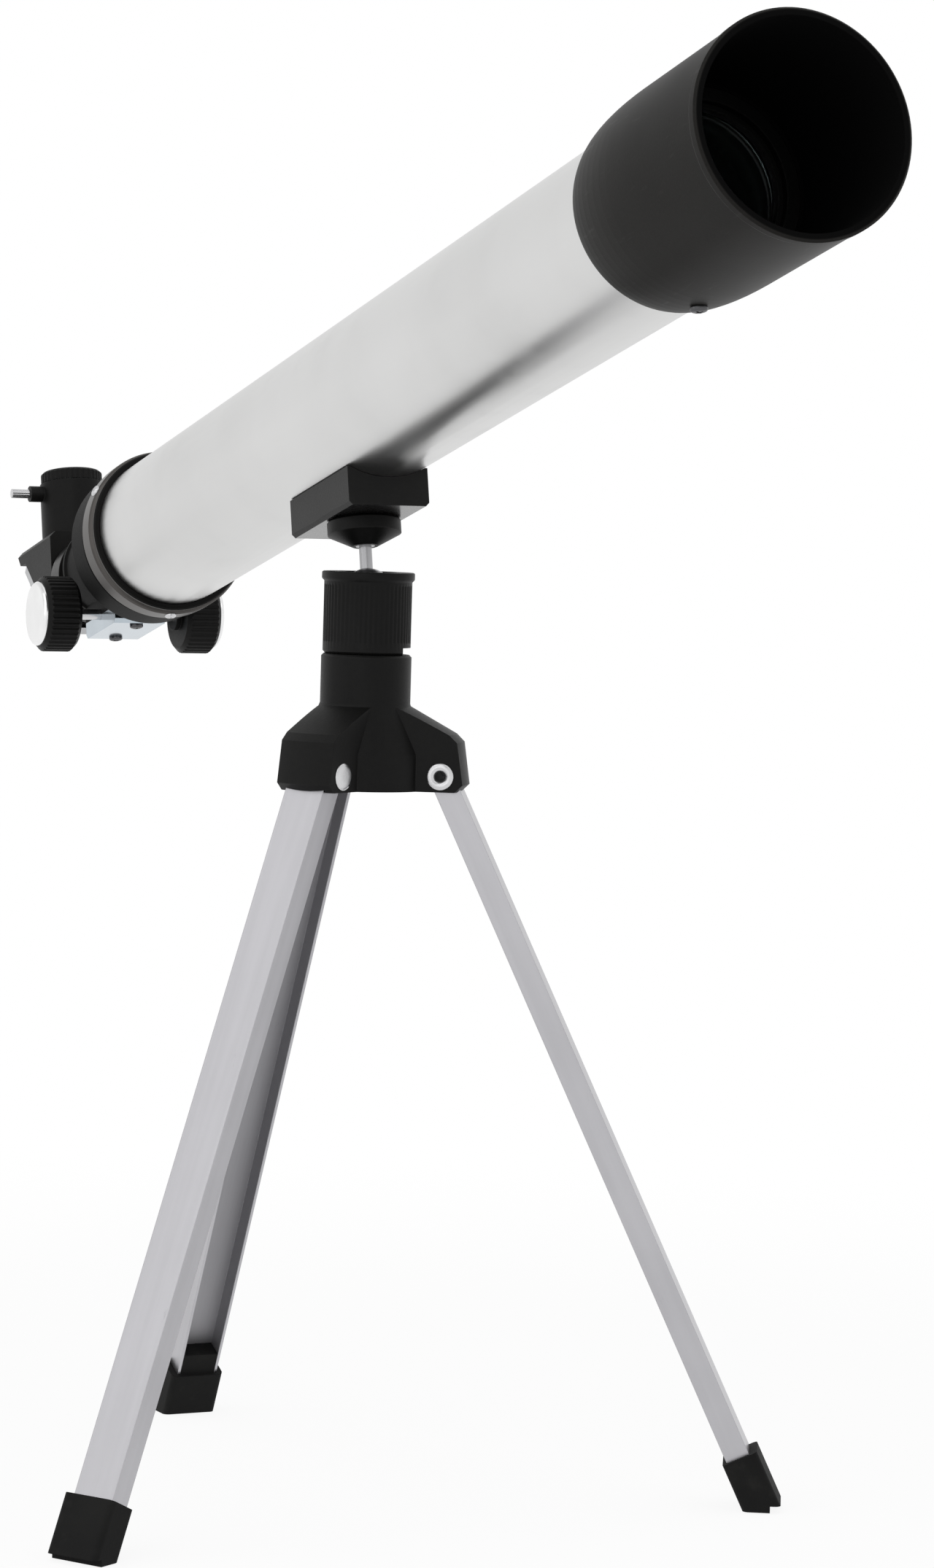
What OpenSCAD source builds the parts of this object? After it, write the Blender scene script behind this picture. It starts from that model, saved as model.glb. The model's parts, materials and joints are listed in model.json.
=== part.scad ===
// Tabletop refracting telescope on a ball head and a folding tripod.
// The origin is on the floor under the tripod's axis, +Z is up and the tube points along +X.

/* [Tripod] */
// Distance from a leg's rivet to the floor, along the leg
leg_reach = 264.3; // [220:0.1:300]
// Outward lean of an open leg, in degrees
leg_splay = 25.2; // [18:0.1:30]
// Turn of the tripod under the tube, in degrees
tripod_turn = 3.6; // [-30:0.1:30]
// Distance of the leg rivets from the tripod's axis
pivot_radius = 26.2; // [25:0.1:32]
// Width of a leg channel
leg_width = 15; // [12:0.1:18]
// Depth of a leg channel
leg_depth = 8; // [7:0.1:10]
// Sheet thickness of a leg channel
leg_wall = 1; // [0.8:0.1:1.5]
// Length of a leg above its rivet
leg_head = 5; // [4:0.1:6]
// Height of a foot cap's rim above the sole, along the leg
foot_rim = 19; // [14:0.1:24]
// Rubber beside the leg in a foot cap
foot_side_wall = 2.2; // [1.5:0.1:4]
// Rubber on the outer face of the leg
foot_outer_wall = 2.8; // [2:0.1:5]
// Rubber on the inner face of the leg
foot_inner_wall = 1.5; // [1:0.1:3]
// Rubber between the end of the leg and the sole
foot_sole = 6; // [5:0.1:8]
// Height of the step at the outer edge of the sole
foot_step = 2.2; // [1:0.1:3]
// Length of the plug that shows in the channel above the cap
foot_plug = 8; // [3:0.1:12]
// Diameter of the rivet shank
rivet_d = 4; // [3:0.1:4.6]
// Diameter of the rivet's rolled head
rivet_head_d = 9; // [7:0.1:10]
// Thickness of the rivet's rolled head
rivet_head_h = 1; // [0.6:0.1:1.5]
// Diameter of the hole in the rivet's rolled end
rivet_hole_d = 2.8; // [1.5:0.1:2.9]

/* [Hub] */
// Height of the hub's shoulder above the rivets
hub_rise = 22.9; // [20:0.1:30]
// Diameter of the hub's neck
neck_d = 29.8; // [28.5:0.1:34]
// Height of the hub's neck
neck_height = 16.2; // [12:0.1:24]
// Thickness of a lug's cheek beside the leg
lug_cheek = 2.7; // [2:0.1:4]
// Thickness of a lug's outer wall at its lower edge
lug_wall = 2; // [1.8:0.1:3]
// Height of a lug's lower edge below the rivet
lug_drop = 5.2; // [5:0.1:9]
// Height of a lug's shoulder above the rivet
lug_shoulder = 13.6; // [10:0.1:16]
// Inward lean of a lug's outer face over its height
lug_taper = 2; // [0:0.1:3]

/* [Ball head] */
// Diameter of the lock collar
collar_d = 29; // [28:0.1:34]
// Overhang of the rim at the collar's top
collar_rim = 0.8; // [0.3:0.1:1.2]
// Height of the lock collar
collar_height = 26.9; // [25:0.1:32]
// Diameter of the ball
ball_d = 18; // [17:0.1:18.4]
// Depth of the ball's centre below the collar's top
ball_drop = 7.8; // [7:0.1:8.4]
// Diameter of the stem's neck
stem_neck_d = 4.2; // [3.5:0.1:4.6]
// Distance from the ball's centre to the lock wheel
stem_neck = 16.5; // [16.2:0.1:22]
// Diameter of the threaded stud
stud_d = 6.3; // [5:0.1:6.4]
// Length of stud above the lock wheel
stud_grip = 7; // [5:0.1:8]
// Diameter of the lock wheel
wheel_d = 24.4; // [20:0.1:27]
// Height of the lock wheel's conical underside
wheel_cone = 4; // [2:0.1:6]
// Height of the lock wheel's rim
wheel_rim = 4.6; // [3:0.1:8]

/* [Tube] */
// Outside diameter of the main tube
tube_d = 55; // [52:0.1:60]
// Wall of the main tube
tube_wall = 1; // [0.8:0.1:1.5]
// Length of the main tube in front of the stem
tube_front = 257; // [220:0.5:320]
// Length of the main tube behind the stem
tube_back = 200; // [160:0.5:240]
// Upward slope of the tube, in degrees
tube_elevation = 13.06; // [-10:0.01:30]
// Length of the saddle block
saddle_length = 54; // [46:0.1:70]
// Width of the saddle block
saddle_width = 28; // [24:0.1:34]
// Height of the saddle block under the tube
saddle_height = 9.5; // [9:0.1:16]
// Distance of the saddle block's middle behind the stem
saddle_setback = 3.5; // [0:0.1:6]

/* [Objective] */
// Diameter of the objective lenses
lens_d = 50; // [46:0.1:50.4]
// Edge thickness of the crown lens
crown_edge = 3.5; // [2.5:0.1:4]
// Middle thickness of the flint lens
flint_middle = 3; // [2.5:0.1:3.6]
// Radius of the crown lens's front surface
crown_front_radius = 370; // [250:1:600]
// Radius of the surfaces between the two lenses
inner_radius = 270; // [230:1:500]
// Radius of the flint lens's rear surface
flint_rear_radius = 1000; // [600:10:3000]
// Length of the lens cell in front of the tube
cell_length = 15; // [14:0.1:20]
// Length of the lens cell inside the tube
cell_spigot = 12; // [8:0.1:20]
// Diameter of the dew shield
shield_d = 64.4; // [63.6:0.1:72]
// Wall of the dew shield
shield_wall = 2; // [1.6:0.1:2.6]
// Length of the dew shield in front of the tube
shield_front = 76.5; // [50:0.5:120]
// Length of the dew shield over the tube
shield_lap = 12; // [6:0.1:14]
// Length of the dew shield's round shoulder
shield_shoulder = 30; // [22:0.1:40]
// Distance of the front baffle in front of the stem
front_baffle_place = 150; // [60:1:200]
// Diameter of the hole in the front baffle
front_baffle_hole_d = 42; // [36:0.1:48]
// Distance of the rear baffle behind the stem
rear_baffle_place = 60; // [40:1:110]
// Diameter of the hole in the rear baffle
rear_baffle_hole_d = 26; // [22:0.1:40]

/* [Focuser] */
// Diameter of the tail flange
flange_d = 61.2; // [60:0.1:68]
// Length of the tail flange over the tube
flange_lap = 7.6; // [6:0.1:12]
// Length of the tail flange behind the tube
flange_back = 5.8; // [5:0.1:10]
// Diameter of the housing's drum
drum_d = 58.8; // [56:0.1:60]
// Length of the housing's drum
drum_length = 16.2; // [10:0.1:18]
// Length of the housing's taper from the drum to the barrel
housing_cone = 11.8; // [10:0.1:20]
// Length of the housing's barrel
housing_barrel = 34; // [32:0.1:50]
// Diameter of the housing's barrel
barrel_d = 35; // [34:0.1:40]
// Diameter of the drawtube
drawtube_d = 28; // [27:0.1:29]
// Wall of the drawtube
drawtube_wall = 1.5; // [1.3:0.1:2]
// Length of drawtube showing behind the housing
drawtube_out = 20; // [14:0.1:40]
// Length of drawtube inside the housing and the tube
drawtube_in = 68; // [66:0.1:90]
// Distance of the pinion in front of the housing's rear face
pinion_inset = 18.2; // [18:0.1:22]
// Teeth on the pinion
pinion_teeth = 12; // [12:1:15]
// Module of the rack and pinion
tooth_module = 0.7; // [0.6:0.05:0.8]
// Width of the rack
rack_width = 6; // [5:0.1:8]
// Length of the rack
rack_length = 60; // [56:0.1:62]
// Diameter of the pinion shaft
shaft_d = 4; // [3:0.1:4.5]
// Diameter of a focus knob
knob_d = 28.3; // [22:0.1:32]
// Thickness of a focus knob
knob_width = 13.3; // [9:0.1:18]
// Distance between the middles of the two knobs
knob_spacing = 55; // [46:0.1:70]
// Width of the pinion cover
cover_width = 20; // [16:0.1:24]
// Length of the pinion cover
cover_length = 35; // [33:0.1:36]
// Depth of the pinion cover
cover_depth = 6.2; // [6:0.1:9]

/* [Diagonal and eyepiece] */
// Width of the diagonal's housing
diagonal_width = 30; // [29:0.1:36]
// Height of the diagonal's top above the tube's axis
diagonal_top = 20.6; // [17:0.1:24]
// Height of the ledge at the diagonal's rear
diagonal_ledge = 6.2; // [4:0.1:7]
// Slant of the ledge's rear face
ledge_slant = 4.5; // [2:0.1:5]
// Bevel along the diagonal's top edges
diagonal_bevel = 2.4; // [1:0.1:2.5]
// Depth of the diagonal's bottom below the tube's axis
diagonal_bottom = 16; // [15:0.1:18]
// Distance from the diagonal's front face to the eyepiece axis
diagonal_front = 16; // [15.5:0.1:20]
// Length of the diagonal's nose in the drawtube
nose_length = 22; // [15:0.1:30]
// Height of the eyepiece holder above the diagonal
holder_height = 21.9; // [18:0.1:30]
// Outside diameter of the eyepiece holder
holder_d = 24.8; // [24.4:0.1:26]
// Diameter of the eyepiece barrel
barrel_fit_d = 22.4; // [21.6:0.1:22.6]
// Length of the eyepiece barrel
barrel_length = 22; // [19:0.1:24]
// Diameter of the eyepiece's grip
eyepiece_d = 23.8; // [23:0.1:28]
// Height of the eyepiece's grip
eyepiece_height = 4.4; // [4:0.1:14]
// Thickness of the diagonal's mirror
mirror_thick = 2; // [1.5:0.1:2.5]
// Thickness of the diagonal's cover plate
back_plate = 3; // [2:0.1:4]
// Length of the bare end of a clamp screw
clamp_grip = 7; // [5:0.1:12]
// Diameter of the bare end of a clamp screw
clamp_grip_d = 3.5; // [3.1:0.1:5]
// Diameter of a clamp screw's thread
clamp_thread_d = 2.5; // [2:0.1:2.9]

/* [Fits] */
// Gap between fixed pieces that seat in each other
seat_gap = 0.1; // [0.05:0.01:0.15]
// Radial gap of a shaft or slide that runs in a bore
run_gap = 0.05; // [0.03:0.01:0.09]
// Gap between pieces that move past each other
free_gap = 0.3; // [0.25:0.01:0.4]
// Play between the rack's and the pinion's teeth
tooth_play = 0.2; // [0.15:0.01:0.25]

/* [Hidden] */
$fn = 72;

BLACK = [0.09, 0.09, 0.09];
CHARCOAL = [0.2, 0.19, 0.18];
SILVER = [0.8, 0.8, 0.8];
CHROME = [0.75, 0.79, 0.83];
BRASS = [0.72, 0.58, 0.3];
GLASS = [0.55, 0.7, 0.7, 0.6];

over = 1;
// Gap under a screw head or a plate that lies on a face
rest_gap = 0.02;
arc_steps = 10;

// Tripod heights and the leg places around the axis
pivot_height = leg_reach * cos(leg_splay);
leg_places = [60, 300, 180];
rivet_r = rivet_d / 2;
rivet_hole_depth = 5;
leg_half = leg_depth / 2;
pocket_width = leg_width + 2 * free_gap;
lug_width = pocket_width + 2 * lug_cheek;
leg_end = leg_reach - foot_sole;
head_swing = norm([leg_half, leg_head]) + free_gap;
lug_bottom = pivot_height - lug_drop;
lug_out = pivot_radius + (leg_half + seat_gap) / cos(leg_splay) + lug_drop * tan(leg_splay) + lug_wall;
foot_flat = 3;
foot_corner = 2;

// Hub neck, collar and ball heights
hub_shoulder = pivot_height + hub_rise;
neck_top = hub_shoulder + neck_height;
collar_base = neck_top + seat_gap;
collar_top = collar_base + collar_height;
ball_z = collar_top - ball_drop;
ball_r = ball_d / 2;
socket_r = ball_r + 0.15;
seat_r = ball_r + 0.5;
seat_bore_r = seat_r + seat_gap;
spigot_wall = 1.8;
spigot_r = seat_bore_r + spigot_wall;
spigot_top = ball_z - ball_r - free_gap;
seat_rim = ball_z - 6;
pad_thick = 2;
pad_base = neck_top - pad_thick;
core_r = 21;
core_hollow_r = 8.5;
core_roof = 4;
lip_height = 5.2;
lip_r = sqrt(socket_r * socket_r - lip_height * lip_height);
cage_r = seat_r + free_gap;
cage_start = 1.5;
mouth_r = lip_r + 1.9;
collar_edge = 0.5;
rim_height = 2.4;
seam_edge = 0.8;
notch_width = 2.6;
notch_depth = 1.6;
notch_turn = 68;

// Stem, wheel and saddle along the stem from the ball's centre
wheel_top = stem_neck + wheel_cone + wheel_rim;
saddle_base = wheel_top + 0.15;
stud_top = wheel_top + stud_grip;
tube_r = tube_d / 2;
tube_bore_r = tube_r - tube_wall;
tube_rise = saddle_base + saddle_height + tube_r;
stud_r = stud_d / 2;
insert_r = stud_r + 1.9;
insert_top = stud_top + 0.3;
saddle_edge = 1.2;
saddle_half = saddle_width / 2;
saddle_floor = -(tube_r + saddle_height);
saddle_cheek = -sqrt(tube_r * tube_r - pow(saddle_half - 1, 2));
saddle_screw_places = [-saddle_setback - saddle_length / 2 + 8, saddle_length / 2 - saddle_setback - 8];
saddle_screw_r = 1.5;
saddle_head_r = 3;
saddle_head_h = 1.5;
saddle_head_seat = -sqrt(tube_bore_r * tube_bore_r - saddle_head_r * saddle_head_r) + 0.05;
saddle_screw_tip = saddle_floor + 1.5;

// Stations along the tube from the stem, forward positive
tail = -tube_back;
lens_r = lens_d / 2;
lens_bore_r = lens_r + seat_gap;
cell_front = tube_front + cell_length;
cell_r = tube_r + 1.4;
cell_lip = 1.5;
cell_window_r = lens_r - 1.5;
flint_back = tube_front + cell_lip + seat_gap;
flint_front = flint_back + flint_middle + sag(inner_radius, lens_r) - sag(flint_rear_radius, lens_r);
spacer_thick = 0.3;
crown_back = flint_front + spacer_thick;
crown_front = crown_back + crown_edge;
retainer_thick = 3;
retainer_back = crown_front + 0.15;
shield_r = shield_d / 2;
shield_bore_r = shield_r - shield_wall - 0.1;
shield_tail = tube_front - shield_lap;
shield_nose = tube_front + shield_front;
shield_tail_r = tube_r + 0.8;
shield_lip = 3;
shield_lip_rise = 0.3;
shield_screw_place = tube_front + 5;
shield_screw_r = 1.2;
shield_screw_head_r = 2.6;
shield_screw_out = shield_r + 0.6;
baffle_thick = 1.2;

flange_r = flange_d / 2;
flange_front = tail + flange_lap;
flange_rear = tail - flange_back;
flange_hole_r = tube_r - 3.5;
flange_screw_place = tail + 2.2;
flange_screw_r = 1.1;
flange_screw_head_r = 2.1;
flange_screw_turns = [60, 180, 300];
flange_head_sink = 0.5;
flange_head_h = 1.7;
flange_rim = 1.6;
flange_rim_r = flange_r - 0.9;
flange_edge = 0.5;
flange_groove = 0.8;
flange_groove_width = 0.6;
flange_flare = 1.2;
flange_rear_edge = 2.4;
flange_rear_r = flange_r - 1.6;
drum_r = drum_d / 2;
drum_edge = 1.6;
drum_rear = flange_rear - drum_length;
barrel_r = barrel_d / 2;
barrel_bead = 0.8;
cone_rear = drum_rear - housing_cone;
cone_flare = 3;
cone_bend = 4;
housing_rear = cone_rear - housing_barrel;
housing_wall = 2.2;
housing_foot = 4;
drawtube_r = drawtube_d / 2;
drawtube_bore_r = drawtube_r - drawtube_wall;
drawtube_rear = housing_rear - drawtube_out;
drawtube_front = housing_rear + drawtube_in;
clamp_ring_length = 10;
clamp_ring_r = drawtube_r + 2.5;

// Rack and pinion below the drawtube
pressure_angle = 20;
pitch_r = pinion_teeth * tooth_module / 2;
tooth_pitch = PI * tooth_module;
rack_addendum = 0.62 * tooth_module;
pinion_addendum = tooth_module;
root_space = 0.25 * tooth_module;
rack_seat = drawtube_r - 0.6;
rack_web = 2.1;
rack_pitch_line = rack_seat + rack_web + pinion_addendum + root_space;
rack_tip = rack_pitch_line + rack_addendum;
pinion_drop = rack_pitch_line + pitch_r;
pinion_place = housing_rear + pinion_inset;
pinion_tip_r = pitch_r + pinion_addendum;
pinion_root_r = pitch_r - rack_addendum - root_space;
pinion_width = rack_width + 1;
rack_count = floor(rack_length / tooth_pitch / 2);
rack_lead = 15.5;
rack_mid = pinion_place + rack_lead;
shaft_r = shaft_d / 2;
knob_r = knob_d / 2;
knob_ribs = 40;
knob_rib_depth = 0.5;
knob_edge = 1.8;
cap_r = knob_r - 2.1;
cap_recess = 1.2;
cap_thick = 2.8;
knob_inner = (knob_spacing - knob_width) / 2;
knob_outer = knob_inner + knob_width;
cover_screw_spacing = 25;
cover_screw_r = 1.4;
cover_head_r = 2.5;
cover_head_h = 1.4;
cover_head_taper = 0.6;
cover_edge = 1.5;

// Diagonal and eyepiece, from where the tube's axis meets the eyepiece's axis
nose_stop = 3;
diagonal_place = drawtube_rear - free_gap - nose_stop - diagonal_front;
nose_r = drawtube_bore_r - run_gap;
nose_stop_r = clamp_ring_r - 2;
light_r = nose_r - 1.6;
mirror_length = 34;
mirror_width = 22.6;
mirror_depth = mirror_thick + 2 * seat_gap;
mirror_slant = mirror_depth * sqrt(2);
ledge_base = diagonal_top - diagonal_ledge;
ledge_back = diagonal_top + (mirror_depth + back_plate) * sqrt(2);
diagonal_edge = 1.2;
plate_upper = -(ledge_base - free_gap) * sqrt(2) - mirror_depth;
plate_lower = (diagonal_bottom - mirror_slant / 2) * sqrt(2);
plate_screw_x = mirror_length / 2 - 5;
plate_screw_y = (mirror_width + diagonal_width) / 4;
plate_screw_r = 0.9;
holder_r = holder_d / 2;
holder_top = diagonal_top + holder_height;
barrel_fit_r = barrel_fit_d / 2;
holder_bore_r = barrel_fit_r + run_gap;
holder_shelf = holder_top - barrel_length - free_gap;
clamp_boss_r = 3.1;
clamp_boss_length = 5;
clamp_r = clamp_thread_d / 2;
clamp_head_r = clamp_grip_d / 2;
eyepiece_clamp_height = holder_top - 4.2;
diagonal_clamp_place = drawtube_rear + clamp_ring_length / 2;
barrel_wall = 1;
barrel_top = holder_top + free_gap;
grip_r = eyepiece_d / 2;
grip_top = barrel_top + eyepiece_height;
grip_ribs = 36;
grip_rib_depth = 0.3;
grip_spigot = 6;
grip_spigot_r = barrel_fit_r - barrel_wall - seat_gap;
eye_lens_r = 5;
field_lens_radius = 40;
field_front_crown = 0.3;
field_back_crown = 1;
eye_cup_depth = 1.2;
eye_cup_rim = 2.6;
eye_lens_thick = 2.2;
eye_window_r = 4;
eye_lens_back = grip_top - 1.4 - eye_lens_thick;
field_lens_r = grip_spigot_r;
field_lens_thick = 2.6;
field_ledge = 1.2;
field_lens_back = barrel_top - barrel_length + field_ledge + seat_gap;

// Depth of a spherical surface of the given radius at a distance from its axis
function sag(radius, distance) = radius - sqrt(radius * radius - distance * distance);

// Points of a lens surface from its axis to its edge, bulging by the sign of swell
function lens_side(radius, edge, place, swell) =
    [for (i = [0:arc_steps]) let (d = edge * i / arc_steps)
        [d, place + swell * (sag(radius, edge) - sag(radius, d))]];

function reverse(list) = [for (i = [len(list) - 1:-1:0]) list[i]];

// Involute of a pressure angle in degrees, as an angle in degrees
function involute(angle) = tan(angle) * 180 / PI - angle;

// Half of a pinion tooth's angle at the given radius
function tooth_half(radius, base) =
    (tooth_pitch / 2 - tooth_play) / (2 * pitch_r) * 180 / PI
    + involute(pressure_angle) - involute(acos(min(1, base / radius)));

// Outline of the pinion with a tooth pointing along +Y
function pinion_points() =
    let (base = pitch_r * cos(pressure_angle), steps = 5,
        flank = [for (i = [0:steps]) base + (pinion_tip_r - base) * i / steps])
    [for (k = [0:pinion_teeth - 1]) let (mid = 90 + 360 * k / pinion_teeth)
        each concat(
            [polar(pinion_root_r, mid - tooth_half(base, base))],
            [for (r = flank) polar(r, mid - tooth_half(r, base))],
            [for (r = reverse(flank)) polar(r, mid + tooth_half(r, base))],
            [polar(pinion_root_r, mid + tooth_half(base, base))])];

function polar(radius, angle) = [radius * cos(angle), radius * sin(angle)];

// Outline of a ribbed grip
function grip_points(radius, depth, ribs) =
    [for (i = [0:ribs - 1]) for (k = [0:3])
        polar(radius - (k < 2 ? 0 : depth), 360 * (i + k / 4) / ribs)];

// Frame of the tilted stem, with the ball's centre at the origin
module on_ball() {
    translate([0, 0, ball_z]) rotate([0, -tube_elevation, 0]) children();
}

// Frame of the tube: +X to its left, +Y up and +Z forward from the stem
module on_tube(station = 0) {
    on_ball() translate([station, 0, tube_rise]) rotate([90, 0, 90]) children();
}

// Frame across the tube: +X rearward, +Y up and +Z to the left
module across_tube(station, height = 0) {
    on_tube(station) translate([0, height, 0]) rotate([0, 90, 0]) children();
}

// Frame up from the tube's axis: +Z up, +X forward and +Y to the left
module above_tube(station) {
    on_ball() translate([station, 0, tube_rise]) children();
}

// Frame of a leg: rivet at the origin, the leg runs down -Z and +X is its outer face
module on_leg(place) {
    rotate([0, 0, place + tripod_turn])
        translate([pivot_radius, 0, pivot_height])
            rotate([0, -leg_splay, 0]) children();
}

module ring(outer, inner, from, to) {
    translate([0, 0, from]) difference() {
        cylinder(r = outer, h = to - from);
        translate([0, 0, -over]) cylinder(r = inner, h = to - from + 2 * over);
    }
}

module rod(radius, from, to) {
    translate([0, 0, from]) cylinder(r = radius, h = to - from);
}

module channel_outline(grow = 0) {
    difference() {
        translate([-leg_half - grow, -leg_width / 2 - grow])
            square([leg_depth + 2 * grow, leg_width + 2 * grow]);
        translate([-leg_half - over, -leg_width / 2 + leg_wall + grow])
            square([leg_depth - leg_wall - grow + over, leg_width - 2 * leg_wall - 2 * grow]);
    }
}

module leg(place) {
    color(SILVER) on_leg(place) difference() {
        translate([0, 0, -leg_end]) linear_extrude(leg_end + leg_head) channel_outline();
        rotate([90, 0, 0]) rod(rivet_r + run_gap, -leg_width, leg_width);
    }
}

module foot_outline() {
    depth = foot_inner_wall + leg_depth + foot_outer_wall;
    translate([-leg_half - foot_inner_wall + depth / 2, 0])
        offset(r = foot_corner, $fn = 24)
            square([depth - 2 * foot_corner, leg_width + 2 * foot_side_wall - 2 * foot_corner], center = true);
}

module foot(place) {
    plug_width = leg_width - 2 * leg_wall - 2 * seat_gap;
    plug_depth = leg_depth - leg_wall - seat_gap;
    color(BLACK) on_leg(place) difference() {
        union() {
            translate([0, 0, -leg_reach - leg_depth])
                linear_extrude(leg_depth + foot_rim) foot_outline();
            translate([-leg_half, -plug_width / 2, -leg_reach])
                cube([plug_depth, plug_width, foot_rim + foot_plug]);
        }
        translate([0, 0, -leg_end]) linear_extrude(leg_end) channel_outline(seat_gap);
        translate([0, 0, -leg_reach]) rotate([0, leg_splay, 0]) {
            translate([-leg_width, -leg_width, -2 * leg_width]) cube(2 * leg_width);
            translate([foot_flat, -leg_width, -over]) cube([leg_width, 2 * leg_width, foot_step + over]);
        }
    }
}

// Room for a leg in its lug, from the open stop to the folded leg, seen along the rivet
module pocket_outline() {
    outer = leg_half + seat_gap;
    inner = leg_half + free_gap;
    depth = 3 * lug_drop;
    stop_top = [outer * cos(leg_splay), outer * sin(leg_splay)];
    stop_end = stop_top + depth * [sin(leg_splay), -cos(leg_splay)];
    circle(r = head_swing);
    polygon([[-inner, 0], [-inner, -depth], stop_end, stop_top]);
}

module lug_outline() {
    corner = 2.5;
    polygon([
        [0, lug_bottom], [lug_out - corner, lug_bottom], [lug_out, lug_bottom + corner],
        [lug_out - lug_taper, pivot_height + lug_shoulder - corner],
        [lug_out - lug_taper - corner, pivot_height + lug_shoulder],
        [neck_d / 2 - 1, hub_shoulder], [0, hub_shoulder]
    ]);
}

module tripod_hub() {
    color(BLACK) difference() {
        union() {
            rotate_extrude() polygon([
                [0, lug_bottom], [core_r, lug_bottom], [core_r, pivot_height + lug_shoulder / 2],
                [neck_d / 2, hub_shoulder], [neck_d / 2, neck_top - seam_edge], [neck_d / 2 - seam_edge, neck_top],
                [spigot_r, neck_top], [spigot_r, spigot_top], [0, spigot_top]
            ]);
            for (place = leg_places) rotate([0, 0, place + tripod_turn]) intersection() {
                rotate_extrude() lug_outline();
                translate([0, -lug_width / 2, lug_bottom - over]) cube([2 * lug_out, lug_width, 2 * hub_rise]);
            }
        }
        rod(seat_bore_r, pad_base, spigot_top + over);
        rod(core_hollow_r, lug_bottom - over, pad_base - core_roof);
        for (place = leg_places) rotate([0, 0, place + tripod_turn])
            translate([pivot_radius, 0, pivot_height]) rotate([90, 0, 0]) {
                linear_extrude(pocket_width, center = true) pocket_outline();
                rod(rivet_r + run_gap, -lug_width, lug_width);
            }
    }
}

// Head with a rounded edge
module rivet_head() {
    outer = rivet_head_d / 2;
    rotate_extrude() polygon(concat([[0, 0], [outer, 0]],
        [for (i = [1:4]) [outer - rivet_head_h * (1 - cos(22.5 * i)), rivet_head_h * sin(22.5 * i)]],
        [[0, rivet_head_h]]));
}

module leg_rivets() {
    half = lug_width / 2;
    color(SILVER) for (place = leg_places) on_leg(place) rotate([90, 0, 0]) difference() {
        union() {
            rod(rivet_r, -half, half + rivet_head_h);
            translate([0, 0, half]) rivet_head();
            mirror([0, 0, 1]) translate([0, 0, half]) rivet_head();
        }
        rod(rivet_hole_d / 2, half - rivet_hole_depth, half + 2 * rivet_head_h);
    }
}

module seat_pad() {
    color(BLACK) rod(seat_r - seat_gap, pad_base, pad_base + pad_thick);
}

module ball_seat() {
    color("whitesmoke") difference() {
        rod(seat_r, pad_base + pad_thick + seat_gap, seat_rim);
        translate([0, 0, ball_z]) sphere(r = socket_r);
    }
}

module lock_collar() {
    outer = collar_d / 2;
    rim_r = outer + collar_rim;
    step = spigot_top + free_gap;
    color(BLACK) difference() {
        lock_collar_body(outer, rim_r, step);
        rotate([0, 0, notch_turn]) translate([outer - notch_depth, -notch_width / 2, collar_base - over])
            cube([outer, notch_width, notch_width + over]);
    }
}

module lock_collar_body(outer, rim_r, step) {
    rotate_extrude() polygon([
        [spigot_r + run_gap, collar_base], [outer - seam_edge, collar_base], [outer, collar_base + seam_edge],
        [outer, collar_top - rim_height - collar_rim], [rim_r, collar_top - rim_height],
        [rim_r, collar_top - collar_edge], [rim_r - collar_edge, collar_top],
        [mouth_r, collar_top], [lip_r, ball_z + lip_height], [cage_r, ball_z + cage_start],
        [cage_r, step], [spigot_r + run_gap, step]
    ]);
}

module ball_stem() {
    color(CHROME) on_ball() {
        sphere(r = ball_r);
        rod(stem_neck_d / 2, 0, stem_neck + 1);
        rod(stud_r, stem_neck, stud_top);
    }
}

module lock_wheel() {
    hole = stud_r + run_gap;
    color(BLACK) on_ball() rotate_extrude() polygon([
        [hole, stem_neck], [hole + 1.2, stem_neck],
        [wheel_d / 2, stem_neck + wheel_cone], [wheel_d / 2, wheel_top - 0.6],
        [wheel_d / 2 - 0.6, wheel_top], [hole, wheel_top]
    ]);
}

module saddle_block() {
    color(BLACK) on_tube() difference() {
        translate([0, 0, -saddle_setback - saddle_length / 2]) linear_extrude(saddle_length) difference() {
            polygon([
                [-saddle_half, saddle_cheek], [-saddle_half, saddle_floor + saddle_edge],
                [-saddle_half + saddle_edge, saddle_floor], [saddle_half - saddle_edge, saddle_floor],
                [saddle_half, saddle_floor + saddle_edge], [saddle_half, saddle_cheek]
            ]);
            circle(r = tube_r + run_gap);
        }
        rotate([90, 0, 0]) rod(insert_r + run_gap, tube_rise - insert_top, -saddle_floor + over);
        for (place = saddle_screw_places) translate([0, 0, place])
            rotate([90, 0, 0]) rod(saddle_screw_r + run_gap, 0, -saddle_screw_tip + seat_gap);
    }
}

module thread_insert() {
    color(BRASS) on_ball() ring(insert_r, stud_r + run_gap, saddle_base, insert_top - seat_gap);
}

module saddle_screws() {
    color(CHROME) on_tube() for (place = saddle_screw_places) translate([0, 0, place]) rotate([90, 0, 0]) {
        rod(saddle_screw_r, -saddle_head_seat - saddle_head_h, -saddle_screw_tip);
        rod(saddle_head_r, -saddle_head_seat - saddle_head_h, -saddle_head_seat);
    }
}

module main_tube() {
    color("gainsboro") on_tube() difference() {
        ring(tube_r, tube_bore_r, tail, tube_front);
        for (place = saddle_screw_places) translate([0, 0, place])
            rotate([90, 0, 0]) rod(saddle_screw_r + run_gap, 0, tube_r + over);
        for (turn = flange_screw_turns) rotate([0, 0, turn]) translate([0, 0, flange_screw_place])
            rotate([-90, 0, 0]) rod(flange_screw_r + run_gap, 0, tube_r + over);
    }
}

module front_baffle() {
    color(BLACK) on_tube(front_baffle_place)
        ring(tube_bore_r - seat_gap, front_baffle_hole_d / 2, 0, baffle_thick);
}

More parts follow.
